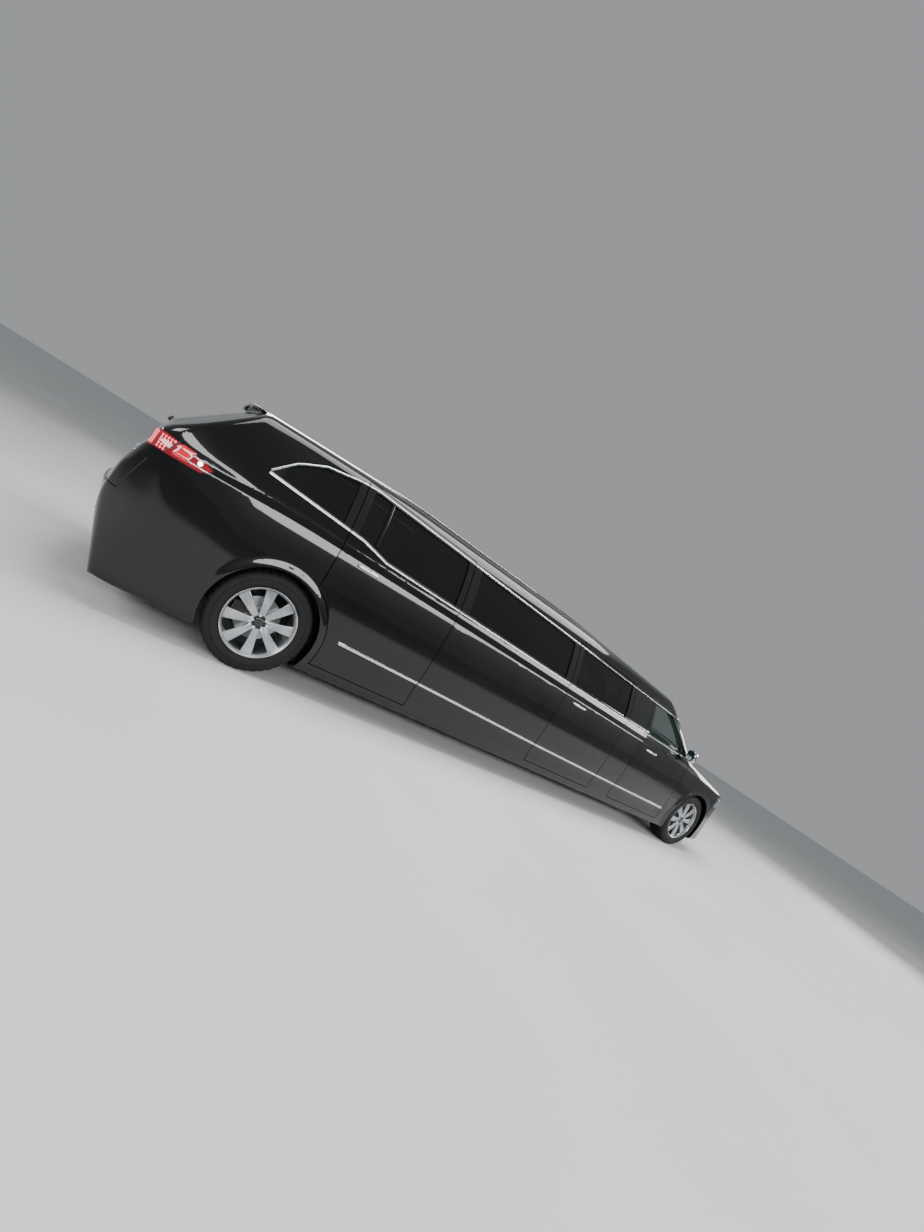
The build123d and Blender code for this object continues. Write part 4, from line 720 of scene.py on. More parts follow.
# a strip's width, how far it stands out, and its two ends
trim = {
    "waist": {"wide": 0.017, "proud": 0.0045, "back": rearAxle - 0.443, "front": frontAxle - 0.612, "below": 0.008},
    "head": {"wide": 0.013, "proud": 0.004, "back": rearAxle - 0.440, "front": frontAxle - 1.10, "above": 0.010},
    "sill": {"wide": 0.026, "proud": 0.006, "back": rearAxle + 0.560, "front": frontAxle - 0.625},
    "waistSeal": {"wide": 0.009, "proud": 0.0030, "back": rearAxle - 0.430, "front": frontAxle - 0.620},
    "headSeal": {"wide": 0.008, "proud": 0.0030, "back": rearAxle + 0.30, "front": frontAxle - 1.12},
}


def sillStripLine(x):
    # height of the bright strip low on the doors, which falls to the front
    return np.interp(x, [rearAxle + 0.601, rearAxle + 1.388, rearAxle + 2.988, rearAxle + 5.418],
                     [0.493, 0.480, 0.443, 0.410])


def headStripLine(x):
    # over the windows, and round the quarter light's bow down to its tip
    bow = rearAxle + 0.30
    above = trim["head"]["above"]
    low = np.interp(x, [rearAxle - 0.443, rearAxle - 0.302, rearAxle - 0.122, rearAxle + 0.145, bow],
                    [1.300, 1.440, 1.536, 1.592, headLine(bow) + above])
    return low * (x < bow) + (headLine(x) + above) * (x >= bow)


def strips(title, line, look, finishName="platedChrome", slot="chrome_trim"):
    end, step = 0.0015, 0.03
    for name, body, side, low, high in panels:
        back, front = max(low, look["back"]), min(high, look["front"])
        if front - back < 0.05:
            continue
        x = np.linspace(back + end, front - end, max(3, int((front - back) / step)))
        points, normals = sidePoint(x, line(x), side)
        sweepStrip(title + name[0].upper() + name[1:], points, normals, look["wide"], look["proud"], finishName, body,
                   slot)


strips("waistStrip", lambda x: waistLine(x) - trim["waist"]["below"], trim["waist"])
strips("headStrip", headStripLine, trim["head"])
strips("sillStrip", sillStripLine, trim["sill"])


# The pillars between the side windows get gloss covers
def patchGrid(corners, count):
    # places between four corners seen from the side, and the faces of a closed sheet, outer points first
    u, v = np.meshgrid(np.linspace(0, 1, count[0] + 1), np.linspace(0, 1, count[1] + 1), indexing="ij")
    x, z = ((a * (1 - u) + b * u) * (1 - v) + (d * (1 - u) + c * u) * v for a, b, c, d in zip(*corners))
    grid = np.arange(u.size).reshape(u.shape)
    faces = []
    for i in range(count[0]):
        for j in range(count[1]):
            quad = [grid[i, j], grid[i + 1, j], grid[i + 1, j + 1], grid[i, j + 1]]
            faces += [quad, [k + u.size for k in reversed(quad)]]
    rim = list(grid[:, 0]) + list(grid[-1, 1:]) + list(grid[-2::-1, -1]) + list(grid[0, -2:0:-1])
    faces += [(rim[k], rim[(k + 1) % len(rim)], rim[(k + 1) % len(rim)] + u.size, rim[k] + u.size)
              for k in range(len(rim))]
    return u.ravel(), v.ravel(), x.ravel(), z.ravel(), faces


def skinPatch(name, corners, side, proud, body, count=(2, 12), thick=0.004):
    # a thin gloss cover that lies on the skin
    _, _, x, z, faces = patchGrid(corners, count)
    outer, inner = (sidePoint(x, z, side, out)[0] for out in (proud, proud - thick))
    addPiece(name, np.vstack([outer, inner]), faces, "glossBlackCover", body, "tinted_glass")


# name, body, side, back, front: between the windows
frameWide, edge = 0.062, 0.001
covers = [
    ("stretchCoverLeft", "body", 1, rearDoor["front"] + gap, rearDoor["front"] + 0.095),
    ("stretchCoverRight", "body", -1, rearDoor["front"] + gap, rearDoor["front"] + 0.095),
    ("middleCoverLeft", "body", 1, middleDoor["back"] - 0.095, middleDoor["back"] + 0.095),
    ("middleCoverRight", "body", -1, middleDoor["back"] - 0.095, middleDoor["back"] - gap),
    ("pillarCoverLeft", "body", 1, middleDoor["front"] - 0.045, frontDoor["back"] - gap),
    ("pillarCoverRight", "body", -1, middleDoor["front"] + gap, frontDoor["back"] - gap),
    ("rearDoorFrameCoverLeft", "rear_door_left", 1, rearDoor["front"] - frameWide, rearDoor["front"] - edge),
    ("rearDoorFrameCoverRight", "rear_door_right", -1, rearDoor["front"] - frameWide, rearDoor["front"] - edge),
    ("middleDoorBackCoverRight", "middle_door_right", -1, middleDoor["back"] + edge, middleDoor["back"] + frameWide),
    ("middleDoorFrontCoverRight", "middle_door_right", -1, middleDoor["front"] - frameWide,
     middleDoor["front"] - edge),
    ("frontDoorBackCoverLeft", "front_door_left", 1, frontDoor["back"] + edge, frontDoor["back"] + frameWide),
    ("frontDoorBackCoverRight", "front_door_right", -1, frontDoor["back"] + edge, frontDoor["back"] + frameWide),
    ("quarterCoverLeft", "body", 1, rearDoor["back"] - 0.070, rearDoor["back"] - gap),
    ("quarterCoverRight", "body", -1, rearDoor["back"] - 0.070, rearDoor["back"] - gap),
    ("rearDoorQuarterCoverLeft", "rear_door_left", 1, rearDoor["back"] + edge, rearDoor["back"] + frameWide),
    ("rearDoorQuarterCoverRight", "rear_door_right", -1, rearDoor["back"] + edge, rearDoor["back"] + frameWide),
]
for name, body, side, back, front in covers:
    low = [(x, float(waistLine(np.array(x)))) for x in (back, front)]
    high = [(x, headLine(x) + 0.003) for x in (front, back)]
    skinPatch(name, low + high, side, 0.0012, body)
print("brightwork and covers laid on the skin")


# Door handles: a plated bar over a dished cup
handleLook = {"set": 0.255, "long": 0.190, "wide": 0.024, "out": 0.040, "cupLong": 0.205, "cupHigh": 0.070}


def roundBox(centre, half, power, count=(24, 14)):
    # a closed superellipsoid: 2 is an ellipsoid, more is boxier
    verts, faces = [], []
    for j in range(1, count[1]):
        b = -math.pi / 2 + math.pi * j / count[1]
        for i in range(count[0]):
            a = 2 * math.pi * i / count[0]
            shape = [math.cos(b), math.cos(b), math.sin(b)]
            face = [math.cos(a), math.sin(a), 1.0]
            verts.append([centre[k] + half[k] * math.copysign(abs(shape[k]) ** (2 / power), shape[k])
                          * math.copysign(abs(face[k]) ** (2 / power), face[k]) for k in range(3)])
    for j in range(count[1] - 2):
        for i in range(count[0]):
            k = (i + 1) % count[0]
            faces.append((j * count[0] + i, j * count[0] + k, (j + 1) * count[0] + k, (j + 1) * count[0] + i))
    low, high = len(verts), len(verts) + 1
    verts += [[centre[0], centre[1], centre[2] - half[2]], [centre[0], centre[1], centre[2] + half[2]]]
    last = (count[1] - 2) * count[0]
    faces += [((i + 1) % count[0], i, low) for i in range(count[0])]
    faces += [(last + i, last + (i + 1) % count[0], high) for i in range(count[0])]
    return verts, faces


def joinForms(*forms):
    verts, faces = [], []
    for v, f in forms:
        faces += [[k + len(verts) for k in face] for face in f]
        verts += list(v)
    return verts, faces


def handleHeight(x):
    share = (x - rearAxle - 0.337) / (frontAxle - 0.610 - rearAxle - 0.337)
    return 1.066 + share * (0.928 - 1.066)


doorPanels = [row for row in panels if row[1] != "body"]
for name, body, side, back, front in doorPanels:
    x = back + handleLook["set"]
    z = handleHeight(x)
    title = name[0].upper() + name[1:]
    # cup: an oval plate that dips in the middle
    rings, count = 8, 36
    rows = []
    for i in range(rings + 1):
        r = i / rings
        a = np.linspace(0, 2 * math.pi, count, endpoint=False)
        px = x + handleLook["cupLong"] / 2 * r * np.cos(a)
        pz = z + handleLook["cupHigh"] / 2 * r * np.sin(a)
        points, normals = sidePoint(px, pz, side, 0.0)
        rows.append(points + normals * (0.0016 - 0.0045 * (1 - r ** 4) if i < rings else -0.003))
    addPiece("handleCup" + title, np.vstack(rows), ringFaces(rings + 1, count, "open"), "polishedBlackLacquer", body,
             "black_paint")
    # bar: thick in the middle, its feet run into the cup
    steps = np.linspace(-1, 1, 25)
    centre, normals = sidePoint(x + steps * handleLook["long"] / 2, z, side, 0.0)
    lift = handleLook["out"] * (1 - np.abs(steps) ** 5) ** 0.5 - 0.008 * (np.abs(steps) > 0.999)
    wide = handleLook["wide"] * (1 - 0.35 * np.abs(steps) ** 3)
    verts, around = [], 10
    for p, n, rise, w in zip(centre, normals, lift, wide):
        for j in range(around):
            a = 2 * math.pi * j / around
            q = p + n * (rise - 0.006 + 0.006 * math.cos(a))
            verts.append((q[0], q[1], q[2] + w / 2 * math.sin(a)))
    faces = ringFaces(len(steps), around)
    addPiece("handleBar" + title, verts, faces, "platedChrome", body, "chrome_trim", smooth=60)

# Door mirrors: a plated shell on a black foot, with silvered glass behind
mirrorLook = {"x": frontAxle - 0.800, "z": 1.160, "low": 0.958, "high": 1.0865}
for name, body, side, back, front in panels:
    if not body.startswith("front_door"):
        continue
    title = name[0].upper() + name[1:]
    y = side * (mirrorLook["low"] + mirrorLook["high"]) / 2
    halfY = (mirrorLook["high"] - mirrorLook["low"]) / 2
    verts, faces = roundBox((mirrorLook["x"], y, mirrorLook["z"]), (0.062, halfY, 0.078), 2.9, (40, 24))
    verts = [(v[0] - 0.25 * (abs(v[1]) - abs(y)) * 0.9, v[1], v[2]) for v in verts]
    verts = [(max(v[0], mirrorLook["x"] - 0.030), v[1], v[2]) for v in verts]
    addPiece("mirrorShell" + title, verts, faces, "platedChrome", body, "chrome_trim", smooth=50)
    foot = roundBox((mirrorLook["x"] + 0.004, side * 0.945, mirrorLook["z"] - 0.080), (0.042, 0.060, 0.024), 3.0,
                    (24, 12))
    addPiece("mirrorFoot" + title, *foot, "grainedPolypropylene", body, "cowl_plastic", smooth=50)
    glass = roundBox((mirrorLook["x"] - 0.0305, y, mirrorLook["z"]), (0.003, halfY * 0.86, 0.064), 3.2, (32, 16))
    addPiece("mirrorGlass" + title, *glass, "silveredGlass", body, "chrome_trim", smooth=50)
print("handles and mirrors made")


# Geometry Nodes: a small shape set on each point of a mesh, turned to face outwards
def setOnPoints(name, points, normals, size, finishName, body, shape="cell", ups=None):
    mesh = bpy.data.meshes.new(name)
    mesh.from_pydata([tuple(p) for p in points], [], [])
    facing = mesh.attributes.new("facing", "FLOAT_VECTOR", "POINT")
    facing.data.foreach_set("vector", np.asarray(normals, np.float32).ravel())
    obj = bpy.data.objects.new(name, mesh)
    bpy.context.scene.collection.objects.link(obj)
    tree = bpy.data.node_groups.new("set_" + name, "GeometryNodeTree")
    sockets = {}
    for title, kind, way, value in (("Geometry", "NodeSocketGeometry", "INPUT", None),
                                    ("Width", "NodeSocketFloat", "INPUT", size[0]),
                                    ("Height", "NodeSocketFloat", "INPUT", size[1]),
                                    ("Depth", "NodeSocketFloat", "INPUT", size[2]),
                                    ("Finish", "NodeSocketMaterial", "INPUT", None),
                                    ("Geometry", "NodeSocketGeometry", "OUTPUT", None)):
        socket = tree.interface.new_socket(title, in_out=way, socket_type=kind)
        if way == "INPUT":
            sockets[title] = (socket.identifier, value)
    start = addNode(tree, "NodeGroupInput")
    if shape == "cell":
        box = addNode(tree, "GeometryNodeMeshCube", {"Size": (1.0, 1.0, 1.0)})
        one = box.outputs["Mesh"]
    else:
        disc = addNode(tree, "GeometryNodeMeshCylinder", {"Vertices": 20 if shape == "round" else 6, "Radius": 0.5,
                                                          "Depth": 1.0})
        one = disc.outputs["Mesh"]
    boxSize = addNode(tree, "ShaderNodeCombineXYZ", links={"X": start.outputs["Width"], "Y": start.outputs["Height"],
                                                         "Z": start.outputs["Depth"]})
    facingWay = addNode(tree, "GeometryNodeInputNamedAttribute", {"data_type": "FLOAT_VECTOR", "Name": "facing"})
    turn = addNode(tree, "FunctionNodeAlignRotationToVector", {"axis": "Z"},
                   {"Vector": facingWay.outputs["Attribute"]})
    placed = addNode(tree, "GeometryNodeInstanceOnPoints", links={
        "Points": start.outputs["Geometry"], "Instance": one, "Rotation": turn.outputs["Rotation"],
        "Scale": boxSize.outputs["Vector"]})
    real = addNode(tree, "GeometryNodeRealizeInstances", links={"Geometry": placed.outputs["Instances"]})
    dressed = addNode(tree, "GeometryNodeSetMaterial", links={"Geometry": real.outputs["Geometry"],
                                                              "Material": start.outputs["Finish"]})
    addNode(tree, "NodeGroupOutput", links={"Geometry": dressed.outputs["Geometry"]})
    modifier = obj.modifiers.new("placed", "NODES")
    modifier.node_group = tree
    for title, (identifier, value) in sockets.items():
        if value is not None:
            modifier[identifier] = value
        elif title == "Finish":
            modifier[identifier] = finish(finishName)
    plain = bpy.data.meshes.new_from_object(obj.evaluated_get(bpy.context.evaluated_depsgraph_get()))
    obj.modifiers.clear()
    obj.data = plain
    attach(obj, body)
    return obj


# Tail lamps: glowing cells over the liftgate's bar, a bright bulb and dark dividers in the corner lamps
lampLook = {"rows": 5, "pitchY": 0.0235, "pitchZ": 0.0185, "cell": (0.0165, 0.0125, 0.003), "low": 1.0565,
            "bulbX": rearAxle - 0.800, "bulbZ": 1.096, "bulb": 0.030}
spots = [(y, lampLook["low"] + r * lampLook["pitchZ"])
         for y in np.arange(-0.770, 0.771, lampLook["pitchY"]) for r in range(lampLook["rows"])]
points, normals = endPoint([s[0] for s in spots], [s[1] for s in spots], -1)
setOnPoints("glowingCellsLiftgate", points, normals, lampLook["cell"], "glowingCells", "liftgate")
for side, title in sides:
    point, normal = sidePoint(lampLook["bulbX"], lampLook["bulbZ"], side, -0.001)
    setOnPoints("reverseBulb" + title, point, normal, (lampLook["bulb"], lampLook["bulb"], 0.006), "glowingBulb",
                "body", "round")
    z = np.linspace(1.046, 1.147, 12)
    points, normals = sidePoint(rearAxle - 0.990 + 0.42 * (z - 1.046), z, side)
    sweepStrip("lampDivider" + title, points, normals, 0.007, 0.001, "satinBlackInsert", "body", "cowl_plastic")
    spots = [(x, lampLook["low"] + r * lampLook["pitchZ"]) for r in range(lampLook["rows"])
             for x in np.arange(rearAxle - 1.040, rearAxle - 0.996 + 0.0085 * r, 0.0180)]
    points, normals = sidePoint([s[0] for s in spots], [s[1] for s in spots], side)
    setOnPoints("glowingCells" + title, points, normals, (0.0125, 0.0125, 0.003), "glowingCells", "body")


# The liftgate: a bright bar over the plate, a strip over the lamp bar, and the blank plate in its frame with two screws
def endStrip(title, zAt, low, high, end, wide, proud, finishName, body, slot, out=0.0, count=60):
    y = np.linspace(low, high, count)
    points, normals = endPoint(y, zAt(y), end, out)
    return sweepStrip(title, points, normals, wide, proud, finishName, body, slot)


endStrip("liftgateBrightBar", lambda y: 0.992 - 0.01 * (y / 0.6) ** 2, -0.600, 0.600, -1, 0.030, 0.010,
         "platedChrome", "liftgate", "chrome_trim")
endStrip("lampBarTopStrip", lambda y: 1.158 + 0 * y, -0.775, 0.775, -1, 0.010, 0.004, "platedChrome", "liftgate",
         "chrome_trim")


def flatBox(name, centre, half, finishName, body, bevel=0.004):
    bm = bmesh.new()
    bmesh.ops.create_cube(bm, size=2.0)
    for v in bm.verts:
        v.co = Vector([centre[k] + v.co[k] * half[k] for k in range(3)])
    bmesh.ops.bevel(bm, geom=bm.edges, offset=min(bevel, min(half) * 0.9), segments=3, affect="EDGES", profile=0.5)
    mesh = bpy.data.meshes.new(name)
    bm.to_mesh(mesh)
    bm.free()
    obj = bpy.data.objects.new(name, mesh)
    bpy.context.scene.collection.objects.link(obj)
    mesh.materials.append(finish(finishName))
    mesh.shade_smooth()
    mesh.set_sharp_from_angle(angle=math.radians(50))
    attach(obj, body)
    return obj


plateX = tail + 0.089
flatBox("plateBlank", (plateX - 0.0035, 0, 0.8475), (0.0015, 0.150, 0.074), "blankPlate", "liftgate")
for title, y, z, hy, hz in (("Top", 0, 0.9225, 0.155, 0.004), ("Bottom", 0, 0.7725, 0.155, 0.004),
                            ("Left", 0.152, 0.8475, 0.004, 0.078), ("Right", -0.152, 0.8475, 0.004, 0.078)):
    flatBox("plateFrame" + title, (plateX - 0.004, y, z), (0.004, hy, hz), "platedChrome", "liftgate",
            0.002)
setOnPoints("plateScrews", [(plateX - 0.006, y, 0.905) for y in (-0.09, 0.09)], [(-1, 0, 0)] * 2,
            (0.011, 0.011, 0.004), "forgedSteel", "liftgate", "six")


# Wheels: tyre with ribs and blocks, rim with eight wide spokes, bolts and cap
tyreLook = {"half": 0.118, "radius": 0.370, "bead": 0.2595, "count": 200, "groove": 0.0075, "block": 5}


def wheelMesh(axleX, side, profile, count, shift=None):
    # the profile is (out from the wheel's middle, radius), closed, turned about the axle
    verts, faces = [], []
    for i in range(count):
        a = 2 * math.pi * i / count
        for k, (out, r) in enumerate(profile):
            if shift:
                out, r = shift(i, k, out, r)
            verts.append((axleX + r * math.cos(a), side * (car["wheelOut"] + out),
                          car["axleHigh"] + r * math.sin(a)))
    n = len(profile)
    for i in range(count):
        j = (i + 1) % count
        faces += [(i * n + k, i * n + (k + 1) % n, j * n + (k + 1) % n, j * n + k) for k in range(n)]
    return verts, faces


def tyreProfile():
    half, deep = tyreLook["half"], tyreLook["groove"]
    wall = [(0.1005, 0.2425), (0.1015, 0.2600), (0.1060, 0.2655), (0.1105, 0.2745), (0.1145, 0.2860), (half, 0.3020),
            (half - 0.0004, 0.3100), (0.1145, 0.3130), (0.1143, 0.3160), (half - 0.0012, 0.3190), (0.1155, 0.3330),
            (0.1110, 0.3470), (0.1050, 0.3570), (0.0990, 0.3628)]
    tread = []
    for low, high in ((0.0940, 0.0685), (0.0590, 0.0270)):
        tread += [(low, 0.3655 if low > 0.09 else 0.3688), ((low + high) / 2, 0.3680 if low > 0.09 else 0.3694),
                  (high, 0.3688 if low > 0.09 else 0.3698), (high - 0.0012, 0.3695 - deep), (high - 0.0083,
                                                                                        0.3695 - deep)]
    middle = [(0.0175, 0.3699), (0.0, 0.3700), (-0.0175, 0.3699)]
    return wall + tread + middle + [(-o, r) for o, r in reversed(tread)] + [(-o, r) for o, r in reversed(wall)]


def treadShift(i, k, out, r):
    wide = abs(out)
    if wide > 0.0665 and r > 0.350 and i % tyreLook["block"] == 0:
        return out, r - 0.006 * min(1, (r - 0.350) / 0.010)
    if 0.026 < wide < 0.060 and r > 0.365 and (i + 2 * (out > 0)) % tyreLook["block"] == 2:
        return out, r - 0.004
    return out, r


rimLook = {"spokes": 8, "turn": 8.0, "faceOut": 0.084, "thick": 0.022, "hub": 0.066, "barrel": 0.2325,
           "rootHalf": 0.023, "tipHalf": 0.041, "bolts": 5, "boltRadius": 0.0475}
barrel = [(-0.1095, 0.2575), (-0.1020, 0.2580), (-0.1018, 0.2500), (-0.0980, 0.2412), (-0.030, 0.2412), (-0.02, 0.2405),
          (0.02, 0.2405), (0.030, 0.2412), (0.0980, 0.2412), (0.1018, 0.2500), (0.1020, 0.2580), (0.1060, 0.2582),
          (0.1095, 0.2572), (0.1097, 0.2520), (0.1060, 0.2470), (0.0960, 0.2420), (0.0850, 0.2350), (0.0720, 0.2330),
          (-0.1040, 0.2330), (-0.1095, 0.2400)]


def spokeForm(angle):
    # one wide flat spoke, tapering to the hub, its face a little hollow down the middle
    rows = []
    for t in np.linspace(0, 1, 13):
        r = 0.050 + t * (rimLook["barrel"] + 0.004 - 0.050)
        half = rimLook["rootHalf"] + (rimLook["tipHalf"] - rimLook["rootHalf"]) * t ** 1.3
        face = rimLook["faceOut"] + 0.006 * math.sin(math.pi * t) + 0.004 * t
        back = face - rimLook["thick"] - 0.010 * (1 - t)
        rimEdge = [(-half, face - 0.006), (-half + 0.003, face - 0.0015), (-half + 0.008, face),
                (-half * 0.35, face - 0.0022), (half * 0.35, face - 0.0022), (half - 0.008, face),
                (half - 0.003, face - 0.0015), (half, face - 0.006), (half * 0.8, back), (-half * 0.8, back)]
        rows.append([(r, w, out) for w, out in rimEdge])
    verts = [(r * math.cos(angle) - w * math.sin(angle), r * math.sin(angle) + w * math.cos(angle), out)
             for row in rows for r, w, out in row]
    n = len(rows[0])
    faces = [(i * n + k, i * n + (k + 1) % n, (i + 1) * n + (k + 1) % n, (i + 1) * n + k)
             for i in range(len(rows) - 1) for k in range(n)]
    faces += [tuple(range(n)), tuple(range((len(rows) - 1) * n, len(rows) * n))]
    return verts, faces


for corner, axleX, side in (("front_left", frontAxle, 1), ("front_right", frontAxle, -1), ("rear_left", rearAxle, 1),
                            ("rear_right", rearAxle, -1)):
    body = "wheel_" + corner
    title = "".join(word.capitalize() for word in corner.split("_"))
    tyre = addPiece("tyre" + title, *wheelMesh(axleX, side, tyreProfile(), tyreLook["count"], treadShift),
                    "tyreCompound", body, "tyre_rubber", 30)
    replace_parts(tyre, "tyre_" + corner)
    hub = [(-0.047, 0.031), (-0.047, 0.160), (-0.021, 0.160), (-0.021, 0.070), (0.070, rimLook["hub"]),
           (0.0775, rimLook["hub"] - 0.003), (0.0790, 0.058), (0.0740, 0.040), (0.0740, 0.001), (0.021, 0.001),
           (0.021, 0.031)]
    forms = [wheelMesh(axleX, side, barrel, 128), wheelMesh(axleX, side, hub, 64)]
    for k in range(rimLook["spokes"]):
        verts, faces = spokeForm(math.radians(rimLook["turn"] + 360 / rimLook["spokes"] * k))
        forms.append(([(axleX + u, side * (car["wheelOut"] + out), car["axleHigh"] + v) for u, v, out in verts],
                      faces))
    rim = addPiece("rim" + title, *joinForms(*forms), "silverPowderCoat", body, "rim_silver", 32)
    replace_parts(rim, "rim_" + corner)
    dish = [(0.0780, 0.0625), (0.0797, 0.0612), (0.0800, 0.0590), (0.0755, 0.0410), (0.0752, 0.0330), (0.0735, 0.0330)]
    addPiece("hubDish" + title, *wheelMesh(axleX, side, dish, 48), "satinBlackInsert", body, "rim_silver", 50)
    cap = [(0.074, 0.0), (0.074, 0.034), (0.0795, 0.034), (0.0825, 0.031), (0.0845, 0.022), (0.0852, 0.0)]
    addPiece("centreCap" + title, *wheelMesh(axleX, side, cap, 40), "glossBlackCover", body, "rim_silver", 50)
    around = [2 * math.pi * (k + 0.5) / rimLook["bolts"] for k in range(rimLook["bolts"])]
    setOnPoints("wheelNuts" + title,
                [(axleX + rimLook["boltRadius"] * math.cos(a), side * (car["wheelOut"] + 0.0785),
                  car["axleHigh"] + rimLook["boltRadius"] * math.sin(a)) for a in around],
                [(0, side, 0)] * rimLook["bolts"], (0.020, 0.020, 0.014), "platedChrome", body, "six")
    x = axleX + 0.222 * math.cos(2.2)
    z = car["axleHigh"] + 0.222 * math.sin(2.2)
    setOnPoints("tyreValve" + title, [(x, side * (car["wheelOut"] + 0.079), z)], [(0, side, 0)],
                (0.008, 0.008, 0.024), "softRubber", body, "round")
print("wheels turned and bolted")


# Padded seats: each cushion is a crowned closed form, blown up as cloth, then channelled and stitched
padLook = {"pressure": 4.0, "frames": 20, "channelDeep": 0.0065, "channelWide": 0.0075, "pullIn": 0.012}


def padForm(half, spacing):
    # a closed box of even squares with rounded edges, its sides drawn in between the corners
    count = [max(4, int(round(2 * h / spacing))) for h in half]
    index, verts, faces = {}, [], []

    def vertexAt(i, j, k):
        key = (i, j, k)
        if key not in index:
            index[key] = len(verts)
            verts.append([2 * c / n - 1 for c, n in zip(key, count)])
        return index[key]

    for axis in range(3):
        a, b = [m for m in range(3) if m != axis]
        for end in (0, count[axis]):
            for i in range(count[a]):
                for j in range(count[b]):
                    quad = []
                    for di, dj in ((0, 0), (1, 0), (1, 1), (0, 1)):
                        key = [0, 0, 0]
                        key[axis], key[a], key[b] = end, i + di, j + dj
                        quad.append(vertexAt(*key))
                    faces.append(quad)
    p = np.array(verts)
    half = np.array(half)
    edge = min(half) * 0.55
    inner = half - edge
    q = p * half
    core = np.clip(q, -inner, inner)
    out = q - core
    far = np.linalg.norm(out, axis=1)
    rounded = core + out * (edge / np.maximum(far, 1e-9))[:, None] * (far > 1e-9)[:, None]
    for one, two in ((0, 1), (1, 0)):
        pull = padLook["pullIn"] * (1 - (rounded[:, two] / half[two]) ** 4)
        rounded[:, one] -= np.sign(rounded[:, one]) * pull * (np.abs(rounded[:, one]) / half[one]) ** 6
    return rounded, faces


def swell(obj, cap):
    # cloth with air in it; how far a point may move is capped, and the modifier doesn't stay
    scene = bpy.context.scene
    before = np.array([v.co for v in obj.data.vertices])
    cloth = obj.modifiers.new("air", "CLOTH")
    cloth.settings.use_pressure = True
    cloth.settings.uniform_pressure_force = padLook["pressure"]
    cloth.settings.effector_weights.gravity = 0.0
    cloth.settings.quality = 4
    cloth.settings.tension_stiffness = cloth.settings.compression_stiffness = 12.0
    cloth.point_cache.frame_start, cloth.point_cache.frame_end = 1, padLook["frames"]
    for frameNow in range(1, padLook["frames"] + 1):
        scene.frame_set(frameNow)
    after = obj.evaluated_get(bpy.context.evaluated_depsgraph_get()).to_mesh()
    moved = np.array([v.co for v in after.vertices])
    obj.modifiers.clear()
    scene.frame_set(1)
    step = moved - before
    far = np.linalg.norm(step, axis=1)
    step *= (cap * np.tanh(far / cap) / np.maximum(far, 1e-9))[:, None]
    for v, co in zip(obj.data.vertices, before + step):
        v.co = co
    obj.data.update()


def cushion(name, half, place, cap, channels, spacing=0.018, levels=2):
    # half sizes across, along and up; place is the frame that carries it; channels are (axis, positions, reach)
    spots, faces = padForm([h - cap * 0.45 for h in half], spacing)
    obj = addPiece(name, spots, faces, "fullGrainLeather", "body", "seat_leather", 180)
    swell(obj, cap)
    finer = obj.modifiers.new("finer", "SUBSURF")
    finer.levels = finer.render_levels = levels
    mesh = bpy.data.meshes.new_from_object(obj.evaluated_get(bpy.context.evaluated_depsgraph_get()))
    obj.modifiers.clear()
    old, obj.data = obj.data, mesh
    bpy.data.meshes.remove(old)
    co = np.array([v.co for v in mesh.vertices])
    n = np.array([v.normal for v in mesh.vertices])
    up = np.clip(n[:, 2] * 2.2 - 0.2, 0, 1)
    for axis, positions, low, high in channels:
        for at in positions:
            other = co[:, 1 - axis]
            inside = easeStep((other - low) / 0.02) * easeStep((high - other) / 0.02)
            deep = np.exp(-((co[:, axis] - at) / padLook["channelWide"]) ** 2) * inside * up
            co -= n * (deep * padLook["channelDeep"])[:, None]
    seam = np.exp(-((co[:, 2] - (half[2] * 0.42)) / 0.0055) ** 2) * (np.abs(n[:, 2]) < 0.75)
    co -= n * (seam * 0.0035)[:, None]
    co[:, 2] = np.maximum(co[:, 2], -half[2])
    for k in range(3):
        co[:, k] = np.clip(co[:, k], -half[k], half[k])
    placed = [place @ Vector(c) for c in co]
    for v, c in zip(mesh.vertices, placed):
        v.co = c
    mesh.update()
    return obj


def stitches(name, obj, place, lines):
    # thread on the leather beside each seam, one stitch every 7 mm
    tree = BVHTree.FromPolygons([v.co for v in obj.data.vertices], [p.vertices for p in obj.data.polygons])
    spots, ways = [], []
    out = place.to_3x3() @ Vector((0, 0, 1))
    for axis, at, low, high in lines:
        for t in np.arange(low, high, 0.007):
            p = [0.0, 0.0, 0.3]
            p[axis], p[1 - axis] = at, t
            hit, n, _, _ = tree.ray_cast(place @ Vector(p), -out)
            if hit:
                spots.append(hit)
                ways.append(n)
    setOnPoints(name, spots, ways, (0.0014, 0.0040, 0.0012), "waxedThread", "body")


def seatFrame(origin, across, up):
    # a cushion's frame: u across, v along, w outwards from the part that is sat on
    across, up = Vector(across).normalized(), Vector(up).normalized()
    along = up.cross(across)
    m = Matrix((across, along, up)).transposed().to_4x4()
    m.translation = Vector(origin)
    return m


leanOut = Vector((0.500, 0.0, 0.241)).normalized()
frontSeat = {"x": frontAxle - 1.560, "y": 0.380, "floor": 0.255}
rearSeat = {"x": rearAxle + 0.560, "floor": 0.255}


def seatBase(name, low, high, finishName="grainedPolypropylene"):
    # the plastic shell and rails that a cushion stands on
    centre = [(a + b) / 2 for a, b in zip(low, high)]
    half = [(b - a) / 2 for a, b in zip(low, high)]
    return addPiece(name, *roundBox(centre, half, 7.0, (48, 20)), finishName, "body", "partition_trim", 50)


